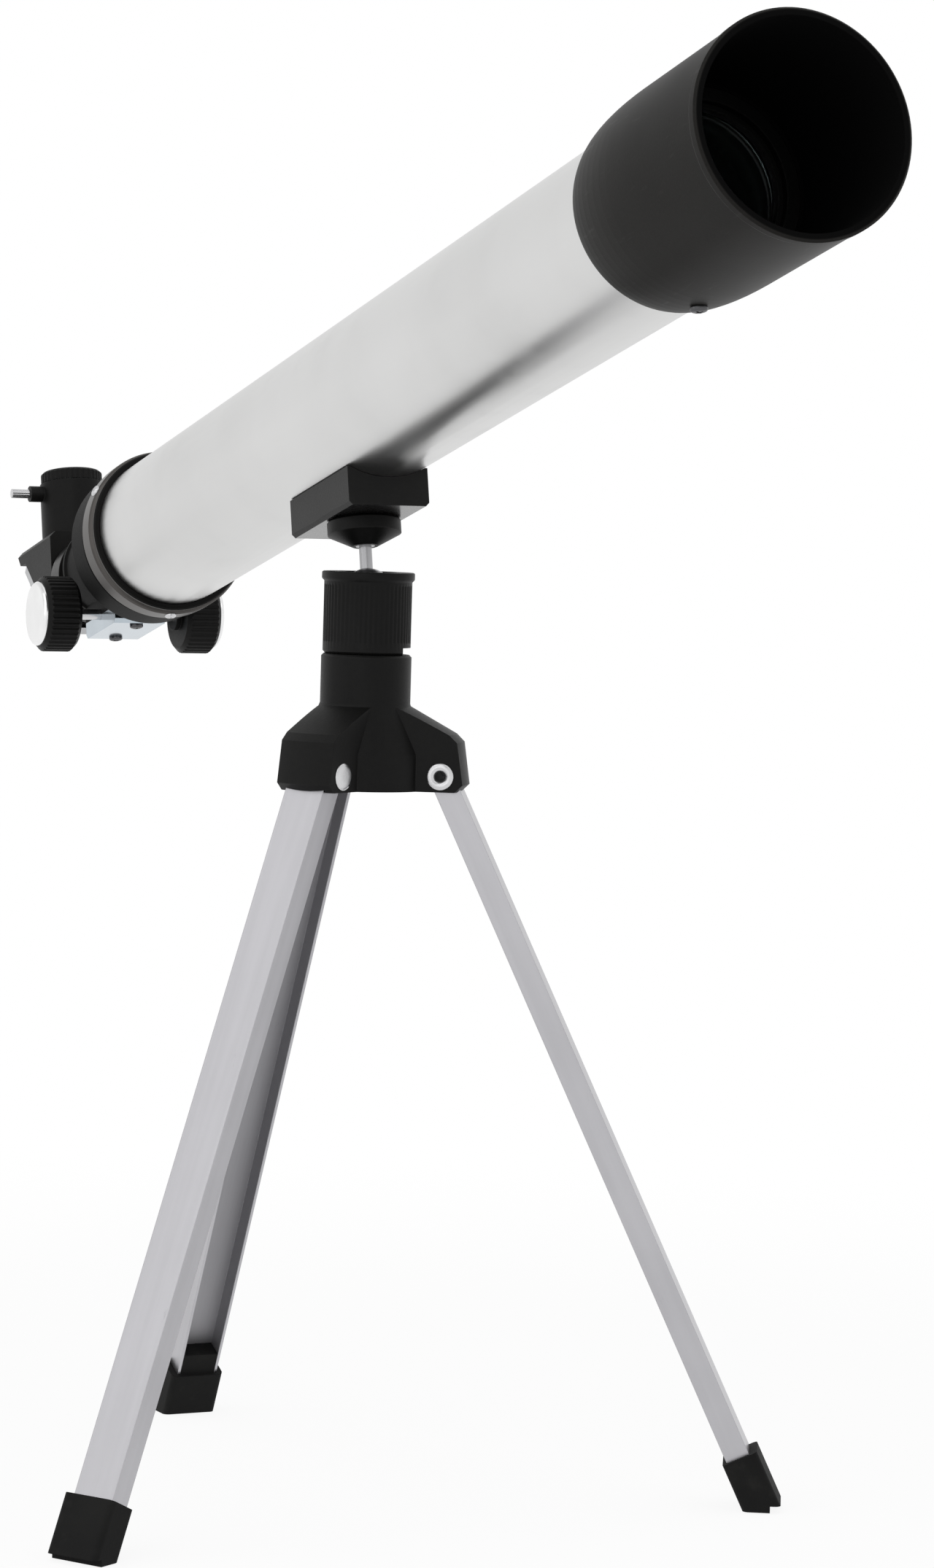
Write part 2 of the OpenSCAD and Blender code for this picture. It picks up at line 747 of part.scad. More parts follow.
module rear_baffle() {
    color(BLACK) on_tube(-rear_baffle_place)
        ring(tube_bore_r - seat_gap, rear_baffle_hole_d / 2, 0, baffle_thick);
}

module lens_cell() {
    color(BLACK) on_tube() difference() {
        rotate_extrude() polygon([
            [cell_window_r, tube_front - cell_spigot], [tube_bore_r - seat_gap, tube_front - cell_spigot],
            [tube_bore_r - seat_gap, tube_front], [cell_r, tube_front], [cell_r, cell_front],
            [lens_bore_r, cell_front], [lens_bore_r, tube_front + cell_lip], [cell_window_r, tube_front + cell_lip]
        ]);
        translate([0, 0, shield_screw_place]) rotate([90, 0, 0])
            rod(shield_screw_r + run_gap, cell_r - 2, cell_r + over);
    }
}

module flint_lens() {
    color(GLASS) on_tube() rotate_extrude() polygon(concat(
        lens_side(flint_rear_radius, lens_r, flint_back, -1),
        reverse(lens_side(inner_radius, lens_r, flint_front, -1))));
}

module crown_lens() {
    color(GLASS) on_tube() rotate_extrude() polygon(concat(
        lens_side(inner_radius, lens_r, crown_back, -1),
        reverse(lens_side(crown_front_radius, lens_r, crown_front, 1))));
}

module lens_spacer() {
    color(SILVER) on_tube() ring(lens_r, lens_r - 1, flint_front + 0.05, crown_back - 0.1);
}

module lens_retainer() {
    color(BLACK) on_tube() ring(lens_bore_r - run_gap, lens_r - 1.5, retainer_back, retainer_back + retainer_thick);
}

module dew_shield() {
    lap_r = tube_r + free_gap;
    seat_r_front = cell_r + seat_gap;
    color(CHARCOAL) on_tube() difference() {
        rotate_extrude() polygon(concat(
            [[lap_r, tube_front], [lap_r, shield_tail]],
            [for (i = [0:arc_steps]) let (a = 90 * i / arc_steps)
                [shield_tail_r + (shield_r - shield_tail_r) * sin(a), shield_tail + shield_shoulder * (1 - cos(a))]],
            [
                [shield_r, shield_nose - shield_lip - 0.8], [shield_r + shield_lip_rise, shield_nose - shield_lip],
                [shield_r + shield_lip_rise, shield_nose - 0.6], [shield_r - 0.3, shield_nose],
                [shield_bore_r, shield_nose], [shield_bore_r, cell_front + seat_gap],
                [seat_r_front, cell_front + seat_gap], [seat_r_front, tube_front]
            ]));
        translate([0, 0, shield_screw_place]) rotate([90, 0, 0]) {
            rod(shield_screw_r + run_gap, cell_r, shield_r + over);
        }
    }
}

// Outer radius of the dew shield's shoulder at a station
function shoulder_r(place) =
    let (a = acos(1 - (place - shield_tail) / shield_shoulder))
    shield_tail_r + (shield_r - shield_tail_r) * sin(a);

module shield_screw() {
    head = shoulder_r(shield_screw_place + shield_screw_head_r);
    color(BLACK) on_tube() translate([0, 0, shield_screw_place]) rotate([90, 0, 0]) {
        rod(shield_screw_r, cell_r - 1.9, head + 0.5);
        rod(shield_screw_head_r, head + 0.05, head + 1.5);
    }
}

module tail_flange() {
    socket = tube_r + seat_gap;
    groove_front = flange_front - flange_rim;
    groove_r = flange_rim_r - flange_groove;
    groove_rear = groove_front - flange_groove_width - flange_edge;
    color(BLACK) on_tube() difference() {
        rotate_extrude() polygon([
            [socket, flange_front], [flange_rim_r - flange_edge, flange_front],
            [flange_rim_r, flange_front - flange_edge], [flange_rim_r, groove_front],
            [groove_r, groove_front - flange_edge], [groove_r, groove_rear],
            [flange_r - flange_edge, groove_rear - flange_edge], [flange_r, groove_rear - flange_flare],
            [flange_r, flange_rear + flange_rear_edge], [flange_rear_r, flange_rear],
            [flange_hole_r, flange_rear], [flange_hole_r, tail], [socket, tail]
        ]);
        for (turn = flange_screw_turns) rotate([0, 0, turn]) translate([0, 0, flange_screw_place])
            rotate([-90, 0, 0]) {
                rod(flange_screw_r + run_gap, 0, flange_r + over);
                rod(flange_screw_head_r + run_gap, flange_r - flange_head_sink, flange_r + over);
            }
    }
}

module flange_screws() {
    color(CHROME) on_tube() for (turn = flange_screw_turns) rotate([0, 0, turn])
        translate([0, 0, flange_screw_place]) rotate([-90, 0, 0]) {
            rod(flange_screw_r, tube_bore_r - 1.5, flange_r);
            translate([0, 0, flange_r - flange_head_sink]) rod(flange_screw_head_r, rest_gap, flange_head_h);
        }
}

module focuser_housing() {
    spigot = flange_hole_r - seat_gap;
    cavity = spigot - housing_wall;
    bead_r = barrel_r + barrel_bead;
    boss_top = barrel_r - 6;
    slot = rack_width / 2 + free_gap;
    color(BLACK) on_tube() difference() {
        union() {
            rotate_extrude() polygon([
                [0, flange_rear + housing_foot], [spigot, flange_rear + housing_foot],
                [spigot, flange_rear - seat_gap], [drum_r - drum_edge, flange_rear - seat_gap],
                [drum_r, flange_rear - seat_gap - drum_edge], [drum_r, drum_rear + drum_edge],
                [drum_r - drum_edge, drum_rear], [barrel_r + cone_flare, cone_rear + cone_bend],
                [barrel_r, cone_rear], [barrel_r, housing_rear + 4 * barrel_bead],
                [bead_r, housing_rear + 3 * barrel_bead], [bead_r, housing_rear + barrel_bead],
                [barrel_r, housing_rear], [0, housing_rear]
            ]);
            translate([-cover_width / 2, -pinion_drop, pinion_place - cover_length / 2])
                cube([cover_width, pinion_drop - boss_top, cover_length]);
        }
        rod(drawtube_r + run_gap, housing_rear - over, flange_rear + housing_foot + over);
        rotate_extrude() polygon([
            [0, flange_rear + housing_foot + over], [cavity, flange_rear + housing_foot + over],
            [cavity, drum_rear + housing_wall], [drawtube_r, cone_rear + cone_bend], [0, cone_rear + cone_bend]
        ]);
        translate([-slot, -rack_tip - free_gap, housing_rear - over])
            cube([2 * slot, rack_tip, flange_rear - housing_rear + 2 * housing_foot]);
        translate([0, -pinion_drop, pinion_place]) rotate([0, 90, 0]) {
            rod(shaft_r + run_gap, -cover_width, cover_width);
            rod(pinion_tip_r + free_gap, -pinion_width / 2 - free_gap, pinion_width / 2 + free_gap);
        }
        for (side = [-1, 1]) translate([0, 0, pinion_place + side * cover_screw_spacing / 2])
            rotate([90, 0, 0]) rod(cover_screw_r + run_gap, rack_tip + free_gap - over, pinion_drop + over);
    }
}

module pinion_cover() {
    half = cover_length / 2;
    color(CHROME) difference() {
        across_tube(pinion_place, -pinion_drop) translate([0, 0, -cover_width / 2]) linear_extrude(cover_width)
            polygon([
                [-half, -run_gap], [-half, cover_edge - cover_depth], [cover_edge - half, -cover_depth],
                [half - cover_edge, -cover_depth], [half, cover_edge - cover_depth], [half, -run_gap]
            ]);
        across_tube(pinion_place, -pinion_drop) {
            rod(shaft_r + run_gap, -cover_width, cover_width);
            rod(pinion_tip_r + free_gap, -pinion_width / 2 - free_gap, pinion_width / 2 + free_gap);
        }
        on_tube() for (side = [-1, 1]) translate([0, 0, pinion_place + side * cover_screw_spacing / 2])
            rotate([90, 0, 0]) rod(cover_screw_r + run_gap, pinion_drop - over, pinion_drop + cover_depth + over);
    }
}

module pinion_cover_screws() {
    seat = pinion_drop + cover_depth;
    color([0.35, 0.36, 0.38]) on_tube() for (side = [-1, 1])
        translate([0, 0, pinion_place + side * cover_screw_spacing / 2]) rotate([90, 0, 0]) {
            rod(cover_screw_r, rack_tip + 2 * free_gap, seat + 0.5);
            translate([0, 0, seat + rest_gap])
                cylinder(r1 = cover_head_r, r2 = cover_head_r - cover_head_taper, h = cover_head_h);
        }
}

module drawtube() {
    color(BLACK) on_tube() difference() {
        union() {
            rod(drawtube_r, drawtube_rear, drawtube_front);
            rod(clamp_ring_r, drawtube_rear, drawtube_rear + clamp_ring_length);
            translate([0, 0, diagonal_clamp_place]) rotate([0, 90, 0])
                rod(clamp_boss_r, 0, clamp_ring_r + clamp_boss_length - 1);
        }
        rod(drawtube_bore_r, drawtube_rear - over, drawtube_front + over);
        translate([-rack_width / 2 - seat_gap, -drawtube_r - over, rack_mid - rack_length / 2 - seat_gap])
            cube([rack_width + 2 * seat_gap, drawtube_r + over - rack_seat, rack_length + 2 * seat_gap]);
        translate([0, 0, diagonal_clamp_place]) rotate([0, 90, 0])
            rod(clamp_r + run_gap, 0, 2 * clamp_ring_r);
    }
}

module focus_rack() {
    root = rack_seat + rack_web;
    half_tip = tooth_pitch / 4 - rack_addendum * tan(pressure_angle);
    half_root = tooth_pitch / 4 + (rack_pitch_line - root) * tan(pressure_angle);
    color(BRASS) across_tube(0) translate([0, 0, -rack_width / 2]) linear_extrude(rack_width) {
        translate([-rack_mid - rack_length / 2, -root]) square([rack_length, rack_web - 0.05]);
        for (k = [-rack_count:rack_count - 1])
            let (at = -pinion_place - (k + 0.5 + round(rack_lead / tooth_pitch)) * tooth_pitch)
                if (abs(at + rack_mid) + half_root < rack_length / 2) polygon([
                    [at - half_root, rest_gap - root], [at - half_tip, -rack_tip],
                    [at + half_tip, -rack_tip], [at + half_root, rest_gap - root]
                ]);
    }
}

module focus_pinion() {
    end = knob_outer - cap_recess - 0.3;
    color("lightsteelblue") across_tube(pinion_place, -pinion_drop) {
        rod(shaft_r, -end, end);
        translate([0, 0, -pinion_width / 2]) linear_extrude(pinion_width) polygon(pinion_points());
    }
}

module knob(side) {
    color(BLACK) across_tube(pinion_place, -pinion_drop) mirror([0, 0, side < 0 ? 1 : 0]) difference() {
        intersection() {
            translate([0, 0, knob_inner - 2]) linear_extrude(knob_width + 2)
                polygon(grip_points(knob_r, knob_rib_depth, knob_ribs));
            rotate_extrude() polygon([
                [0, knob_inner - 2], [shaft_r + 3.5, knob_inner - 2], [shaft_r + 3.5, knob_inner],
                [knob_r - knob_edge, knob_inner], [knob_r + 0.1, knob_inner + knob_edge],
                [knob_r + 0.1, knob_outer - knob_edge], [knob_r - knob_edge, knob_outer], [0, knob_outer]
            ]);
        }
        rod(shaft_r + run_gap, 0, knob_outer + over);
        rod(cap_r + run_gap, knob_outer - cap_recess, knob_outer + over);
    }
}

module knob_cap(side) {
    base = knob_outer - cap_recess + rest_gap;
    color(SILVER) across_tube(pinion_place, -pinion_drop) mirror([0, 0, side < 0 ? 1 : 0])
        rotate_extrude() polygon([
            [0, base], [cap_r, base], [cap_r, base + cap_thick - 1],
            [cap_r - 0.4, base + cap_thick - 0.4], [cap_r - 1, base + cap_thick], [0, base + cap_thick]
        ]);
}

module left_knob() {
    knob(1);
}

module right_knob() {
    knob(-1);
}

module left_knob_cap() {
    knob_cap(1);
}

module right_knob_cap() {
    knob_cap(-1);
}

// Frame of the diagonal's sloping back: +Z out of the back and +X down the slope
module on_slope() {
    above_tube(diagonal_place) rotate([0, -135, 0]) children();
}

module diagonal_body() {
    half = diagonal_width / 2;
    foot = half - diagonal_edge - over;
    roof = half - diagonal_bevel - over;
    color(BLACK) difference() {
        union() {
            intersection() {
                across_tube(diagonal_place) translate([0, 0, -diagonal_width]) linear_extrude(2 * diagonal_width)
                    polygon([
                        [ledge_base + mirror_slant, ledge_base], [ledge_back - ledge_slant, ledge_base],
                        [ledge_back, diagonal_top], [-diagonal_front, diagonal_top],
                        [-diagonal_front, -diagonal_bottom], [mirror_slant - diagonal_bottom, -diagonal_bottom]
                    ]);
                on_tube(diagonal_place) translate([0, 0, -ledge_back - over])
                    linear_extrude(ledge_back + diagonal_front + 2 * over) polygon([
                        [-half, diagonal_edge - diagonal_bottom], [-foot, -diagonal_bottom - over],
                        [foot, -diagonal_bottom - over], [half, diagonal_edge - diagonal_bottom],
                        [half, diagonal_top - diagonal_bevel], [roof, diagonal_top + over],
                        [-roof, diagonal_top + over], [-half, diagonal_top - diagonal_bevel]
                    ]);
            }
            on_tube(diagonal_place) {
                rod(nose_r, diagonal_front, diagonal_front + nose_stop + free_gap + nose_length);
                rod(nose_stop_r, diagonal_front - over, diagonal_front + nose_stop);
            }
            above_tube(diagonal_place) {
                rod(holder_r, diagonal_top - over, holder_top);
                translate([0, 0, eyepiece_clamp_height]) rotate([90, 0, 0])
                    rod(clamp_boss_r, 0, holder_r + clamp_boss_length);
            }
        }
        on_tube(diagonal_place) rod(light_r, 0, 2 * nose_length + diagonal_front);
        above_tube(diagonal_place) {
            rod(light_r, 0, holder_top);
            rod(holder_bore_r, holder_shelf, holder_top + over);
            translate([0, 0, eyepiece_clamp_height]) rotate([90, 0, 0])
                rod(clamp_r + run_gap, 0, holder_r + clamp_boss_length + over);
        }
        on_slope() translate([-mirror_length / 2, -mirror_width / 2, 0])
            cube([mirror_length, mirror_width, mirror_depth + over]);
        on_slope() for (x = [-1, 1], y = [-1, 1]) translate([x * plate_screw_x, y * plate_screw_y, 0])
            rod(plate_screw_r + run_gap, -3, mirror_depth + over);
    }
}

module diagonal_mirror() {
    color("lightblue") on_slope() translate([seat_gap - mirror_length / 2, seat_gap - mirror_width / 2, seat_gap])
        cube([mirror_length - 2 * seat_gap, mirror_width - 2 * seat_gap, mirror_thick]);
}

module diagonal_cover() {
    color(SILVER) on_slope() difference() {
        translate([plate_upper, -diagonal_width / 2, mirror_depth + rest_gap])
            cube([plate_lower - plate_upper, diagonal_width, back_plate]);
        for (x = [-1, 1], y = [-1, 1]) translate([x * plate_screw_x, y * plate_screw_y, 0])
            rod(plate_screw_r + run_gap, 0, mirror_depth + back_plate + over);
    }
}

module diagonal_cover_screws() {
    seat = mirror_depth + back_plate + 2 * rest_gap;
    color(CHROME) on_slope() for (x = [-1, 1], y = [-1, 1])
        translate([x * plate_screw_x, y * plate_screw_y, 0]) {
            rod(plate_screw_r, -2.5, seat + 0.5);
            translate([0, 0, seat]) cylinder(r1 = plate_screw_r + 0.8, r2 = plate_screw_r + 0.4, h = 0.9);
        }
}

// A clamp screw along +Z with its tip at the given distance and its boss ending at the other
module clamp_screw(tip, boss_end) {
    rod(clamp_r, tip, boss_end + 1);
    translate([0, 0, boss_end + free_gap]) linear_extrude(clamp_grip)
        polygon(grip_points(clamp_head_r, 0.15, 12));
}

module diagonal_screw() {
    color([0.45, 0.45, 0.47]) on_tube(diagonal_clamp_place) rotate([0, 90, 0])
        clamp_screw(drawtube_bore_r + free_gap, clamp_ring_r + clamp_boss_length - 1);
}

module eyepiece_screw() {
    color([0.45, 0.45, 0.47]) above_tube(diagonal_place) translate([0, 0, eyepiece_clamp_height]) rotate([90, 0, 0])
        clamp_screw(barrel_fit_r + free_gap, holder_r + clamp_boss_length);
}

module eyepiece_barrel() {
    base = barrel_top - barrel_length;
    color(CHROME) above_tube(diagonal_place) rotate_extrude() polygon([
        [barrel_fit_r - 2.4, base], [barrel_fit_r - 0.4, base], [barrel_fit_r, base + 0.4],
        [barrel_fit_r, barrel_top], [barrel_fit_r - barrel_wall, barrel_top],
        [barrel_fit_r - barrel_wall, base + field_ledge], [barrel_fit_r - 2.4, base + field_ledge]
    ]);
}

module eyepiece_body() {
    color(BLACK) above_tube(diagonal_place) difference() {
        union() {
            rod(grip_spigot_r, barrel_top - grip_spigot, barrel_top + 1);
            intersection() {
                translate([0, 0, barrel_top + rest_gap]) linear_extrude(eyepiece_height)
                    polygon(grip_points(grip_r, grip_rib_depth, grip_ribs));
                rotate_extrude() polygon([
                    [0, barrel_top], [grip_r + 0.1, barrel_top], [grip_r + 0.1, grip_top - 1],
                    [grip_r - 1, grip_top], [0, grip_top]
                ]);
            }
        }
        rod(eye_lens_r - 1, barrel_top - grip_spigot - over, grip_top);
        rod(eye_lens_r + seat_gap, barrel_top - grip_spigot - over, eye_lens_back + eye_lens_thick + 2 * seat_gap);
        translate([0, 0, grip_top - eye_cup_depth])
            cylinder(r1 = eye_window_r, r2 = grip_r - eye_cup_rim, h = eye_cup_depth + seat_gap);
    }
}

module eye_lens() {
    color(GLASS) above_tube(diagonal_place) translate([0, 0, eye_lens_back + seat_gap])
        rod(eye_lens_r, 0, eye_lens_thick);
}

module field_lens() {
    color(GLASS) above_tube(diagonal_place) rotate_extrude() polygon(concat(
        lens_side(field_lens_radius, field_lens_r, field_lens_back + field_front_crown, -field_front_crown),
        reverse(lens_side(field_lens_radius, field_lens_r, field_lens_back + field_lens_thick - field_front_crown
            - field_back_crown, field_back_crown))));
}

module left_leg() {
    leg(leg_places[0]);
}

module left_foot() {
    foot(leg_places[0]);
}

module right_leg() {
    leg(leg_places[1]);
}

module right_foot() {
    foot(leg_places[1]);
}

module rear_leg() {
    leg(leg_places[2]);
}

module rear_foot() {
    foot(leg_places[2]);
}

tripod_hub();
leg_rivets();
seat_pad();
lock_collar();
ball_seat();
ball_stem();
lock_wheel();
left_leg();
left_foot();
right_leg();
right_foot();
rear_leg();
rear_foot();
saddle_block();
thread_insert();
saddle_screws();
main_tube();
front_baffle();
rear_baffle();
lens_cell();
flint_lens();
lens_spacer();
crown_lens();
lens_retainer();
dew_shield();
shield_screw();
tail_flange();
flange_screws();
focuser_housing();
pinion_cover();
pinion_cover_screws();
drawtube();
focus_rack();
focus_pinion();
left_knob();
right_knob();
left_knob_cap();
right_knob_cap();
diagonal_body();
diagonal_mirror();
diagonal_cover();
diagonal_cover_screws();
diagonal_screw();
eyepiece_screw();
eyepiece_barrel();
eyepiece_body();
field_lens();
eye_lens();
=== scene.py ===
"""Looks of a tabletop refracting telescope on a ball head and folding tripod."""
import json
import math

import bpy
from mathutils import Matrix, Vector


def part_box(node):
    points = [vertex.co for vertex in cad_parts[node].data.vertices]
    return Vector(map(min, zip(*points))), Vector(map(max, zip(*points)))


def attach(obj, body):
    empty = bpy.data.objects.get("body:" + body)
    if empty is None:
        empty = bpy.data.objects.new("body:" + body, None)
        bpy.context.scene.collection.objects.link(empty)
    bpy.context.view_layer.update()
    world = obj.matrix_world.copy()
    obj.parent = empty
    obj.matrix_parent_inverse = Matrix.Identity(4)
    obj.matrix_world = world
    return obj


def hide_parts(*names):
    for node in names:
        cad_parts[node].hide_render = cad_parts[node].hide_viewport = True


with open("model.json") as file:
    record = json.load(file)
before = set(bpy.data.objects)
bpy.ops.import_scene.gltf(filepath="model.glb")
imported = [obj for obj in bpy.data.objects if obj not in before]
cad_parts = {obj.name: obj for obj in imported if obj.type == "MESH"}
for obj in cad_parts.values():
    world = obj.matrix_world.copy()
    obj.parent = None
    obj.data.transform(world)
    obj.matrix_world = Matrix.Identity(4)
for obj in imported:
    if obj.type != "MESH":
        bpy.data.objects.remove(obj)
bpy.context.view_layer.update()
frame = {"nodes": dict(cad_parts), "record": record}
nodes = frame["nodes"]
record = frame["record"]
MM = 0.001

# The camera stands where the photograph was taken from
CAMERA_PLACE = Vector((1.44846, -0.56369, 0.33587))
CAMERA_RIGHT = Vector((0.3813, 0.9240, 0.0287))
CAMERA_DOWN = Vector((0.0701, 0.0021, -0.9975))
CAMERA_LENS = 108.38
SENSOR_WIDTH = 36
NEAR_CLIP = 0.01


def place_camera():
    """A camera at the photograph's viewing angle."""
    forward = CAMERA_RIGHT.cross(CAMERA_DOWN).normalized()
    right = CAMERA_RIGHT.normalized()
    up = right.cross(forward).normalized()
    data = bpy.data.cameras.new("camera")
    data.lens = CAMERA_LENS
    data.sensor_width = SENSOR_WIDTH
    data.clip_start = NEAR_CLIP
    camera = bpy.data.objects.new("camera", data)
    bpy.context.collection.objects.link(camera)
    turn = Matrix((right, up, -forward)).transposed().to_4x4()
    camera.matrix_world = Matrix.Translation(CAMERA_PLACE) @ turn
    bpy.context.scene.camera = camera


# The tube's own frame: +X forward along the tube, +Y to its left and +Z up from it
mounts = {m["name"]: m for m in record["mounts"]}
joints = {j["name"]: j for j in record["behaviour"]["joints"]}
TUBE_FORWARD = Vector(mounts["shield_mouth"]["axis"])
TUBE_TILT = math.atan2(TUBE_FORWARD.z, TUBE_FORWARD.x)
TUBE_UP = Vector((-math.sin(TUBE_TILT), 0, math.cos(TUBE_TILT)))
BALL = Vector(joints["ball_tilt"]["pos_m"])
TUBE_RISE = (Vector(mounts["shield_mouth"]["pos_m"]) - BALL).dot(TUBE_UP)
TUBE_MIDDLE = BALL + TUBE_RISE * TUBE_UP
# Places along the tube, forward of the ball, and the pinion's height from the axis, in millimetres
PINION_AT, PINION_HEIGHT = -249.6, -20.6
DIAGONAL_AT, MIRROR_SLOPE = -307.1, math.radians(45)


def tube_frame(forward, left, up):
    """Place and turn of the tube's frame at a point given in millimetres."""
    point = TUBE_MIDDLE + MM * (forward * TUBE_FORWARD + Vector((0, left, 0)) + up * TUBE_UP)
    return Matrix.Translation(point) @ Matrix.Rotation(-TUBE_TILT, 4, "Y")


class Wire:
    """A shader socket that takes part in sums."""

    def __init__(self, tree, socket=None):
        self.tree = tree
        self.socket = socket

    def node(self, kind, settings=None, inputs=None, out=0):
        made = self.tree.nodes.new(kind)
        for key, value in (settings or {}).items():
            setattr(made, key, value)
        for key, value in (inputs or {}).items():
            if isinstance(value, Wire):
                self.tree.links.new(value.socket, made.inputs[key])
            else:
                made.inputs[key].default_value = value
        return Wire(self.tree, made.outputs[out]) if made.outputs else None

    def math(self, operation, *values):
        return self.node("ShaderNodeMath", {"operation": operation}, dict(enumerate(values)))

    def __add__(self, other):
        return self.math("ADD", self, other)

    def __sub__(self, other):
        return self.math("SUBTRACT", self, other)

    def __mul__(self, other):
        return self.math("MULTIPLY", self, other)

    def __pow__(self, other):
        return self.math("POWER", self, other)

    def __radd__(self, other):
        return self.math("ADD", other, self)

    def __rsub__(self, other):
        return self.math("SUBTRACT", other, self)

    def __rmul__(self, other):
        return self.math("MULTIPLY", other, self)

    def most(self, other):
        """The larger of the two values."""
        return self.math("MAXIMUM", self, other)

    def dot(self, other):
        return self.node("ShaderNodeVectorMath", {"operation": "DOT_PRODUCT"}, {0: self, 1: other}, "Value")

    def step(self, low, high):
        """0 below low, 1 above high, smooth between."""
        settings = {"interpolation_type": "SMOOTHSTEP"}
        return self.node("ShaderNodeMapRange", settings, {"Value": self, "From Min": low, "From Max": high})

    def mix(self, low, high):
        """A colour from low to high as this value goes from 0 to 1."""
        low = low if isinstance(low, Wire) else rgba(low)
        high = high if isinstance(high, Wire) else rgba(high)
        return self.node("ShaderNodeMix", {"data_type": "RGBA"}, {0: self, 6: low, 7: high}, 2)

    def noise(self, scale, detail=3.0, rough=0.5):
        inputs = {"Vector": self, "Scale": scale, "Detail": detail, "Roughness": rough}
        return self.node("ShaderNodeTexNoise", {}, inputs)

    def stretch(self, x, y, z):
        settings = {"operation": "MULTIPLY"}
        return self.node("ShaderNodeVectorMath", settings, {0: self, 1: (x, y, z)})

    def bump(self, strength, depth, under=None):
        inputs = {"Height": self, "Strength": strength, "Distance": depth}
        if under:
            inputs["Normal"] = under
        return self.node("ShaderNodeBump", {}, inputs)

    def turned(self, place, angles):
        """Coordinates in a frame at the place, turned by the angles."""
        inputs = {"Vector": self, "Location": place, "Rotation": angles}
        return self.node("ShaderNodeMapping", {"vector_type": "TEXTURE"}, inputs)

    def axes(self):
        """The three coordinates, each by itself."""
        parts = self.node("ShaderNodeSeparateXYZ", {}, {0: self}).socket.node
        return [Wire(self.tree, socket) for socket in parts.outputs]


def rgba(colour):
    return (*colour, 1.0)


def scaled(values, share):
    """Each part of a colour or a length times the share."""
    return tuple(share * value for value in values)


def span(a, b):
    """Distance from an axis, from the two coordinates across it."""
    return (a * a + b * b) ** 0.5


def material(name, paint, **fixed):
    """A material whose paint says what varies over the surface; the rest is set on the shader."""
    made = bpy.data.materials.new(name)
    made.use_nodes = True
    tree = made.node_tree
    tree.nodes.clear()
    start = Wire(tree)
    place = start.node("ShaderNodeTexCoord", out="Object")
    settings = {key.replace("_", " ").title().replace("Ior", "IOR"): value for key, value in fixed.items()}
    shader = start.node("ShaderNodeBsdfPrincipled", {}, {**settings, **paint(place)})
    start.node("ShaderNodeOutputMaterial", {}, {"Surface": shader})
    return made


def rounded(place, radius):
    """The surface direction with its edges softened."""
    return place.node("ShaderNodeBevel", {"samples": 4}, {"Radius": radius})


def worn_edges(place, radius):
    """1 along convex and concave edges, 0 on the flats."""
    soft = rounded(place, radius)
    sharp = place.node("ShaderNodeNewGeometry", out="Normal")
    return (1 - soft.dot(sharp)).step(0.01, 0.2)


def moulded(dark, light, rough, texture):
    """Moulded plastic: fine cast texture, cloudy gloss and rubbed edges."""
    def paint(place):
        cloud = place.noise(22, 4)
        fine = place.noise(1500, 2)
        specks = place.noise(420, 3, 0.7)
        edge = worn_edges(place, 0.0006) * place.noise(90, 3).step(0.35, 0.7)
        shade = (0.65 * cloud + 0.35 * specks).step(0.3, 0.7)
        rubbed = tuple(3.2 * part + 0.012 for part in light)
        colour = (0.55 * edge).mix(shade.mix(dark, light), rubbed)
        height = fine + 0.6 * specks
        return {
            "Base Color": colour,
            "Roughness": rough + 0.16 * (cloud - 0.5) + 0.10 * (fine - 0.5) - 0.08 * edge,
            "Normal": height.bump(texture, 0.00012, rounded(place, 0.0004)),
        }
    return paint


def flat_metal(colour, rough, scale):
    """Metal with faint stains and a fine even grain."""
    def paint(place):
        cloud = place.noise(scale, 4)
        fine = place.noise(2400, 2)
        shade = cloud.step(0.25, 0.75).mix(scaled(colour, 0.9), colour)
        return {
            "Base Color": shade,
            "Roughness": rough + 0.14 * (cloud - 0.5) + 0.08 * (fine - 0.5),
            "Normal": fine.bump(0.05, 0.0001, rounded(place, 0.00025)),
        }
    return paint


# Where a finish, a painted shade or a painted reflection band ends, in metres, as the two ends of a short
# blend
CHANNEL_BACK, CHANNEL_WALL = (0.0031, 0.0033), (0.00655, 0.00675)
TUBE_WALL = (0.02685, 0.0271)
SHIELD_BORE, SHIELD_FLOOR = (0.0302, 0.0306), (0.262, 0.266)
SHIELD_RIM, SHIELD_MOUTH = (0.0314, 0.0320), (0.3324, 0.3332)
BAND_BACK, BAND_FRONT = (-0.2042, -0.2036), (-0.1932, -0.1929)
RIVET_BORE, RIVET_DEPTH = (0.0015, 0.0021), (0.003, 0.005)


def channel_shade_mask(local):
    """1 on the faces inside a leg's channel, where shade is painted, 0 on those outside."""
    outward, across, _ = local.axes()
    width = across.math("ABSOLUTE", across)
    return (1 - outward.step(*CHANNEL_BACK)) * (1 - width.step(*CHANNEL_WALL))


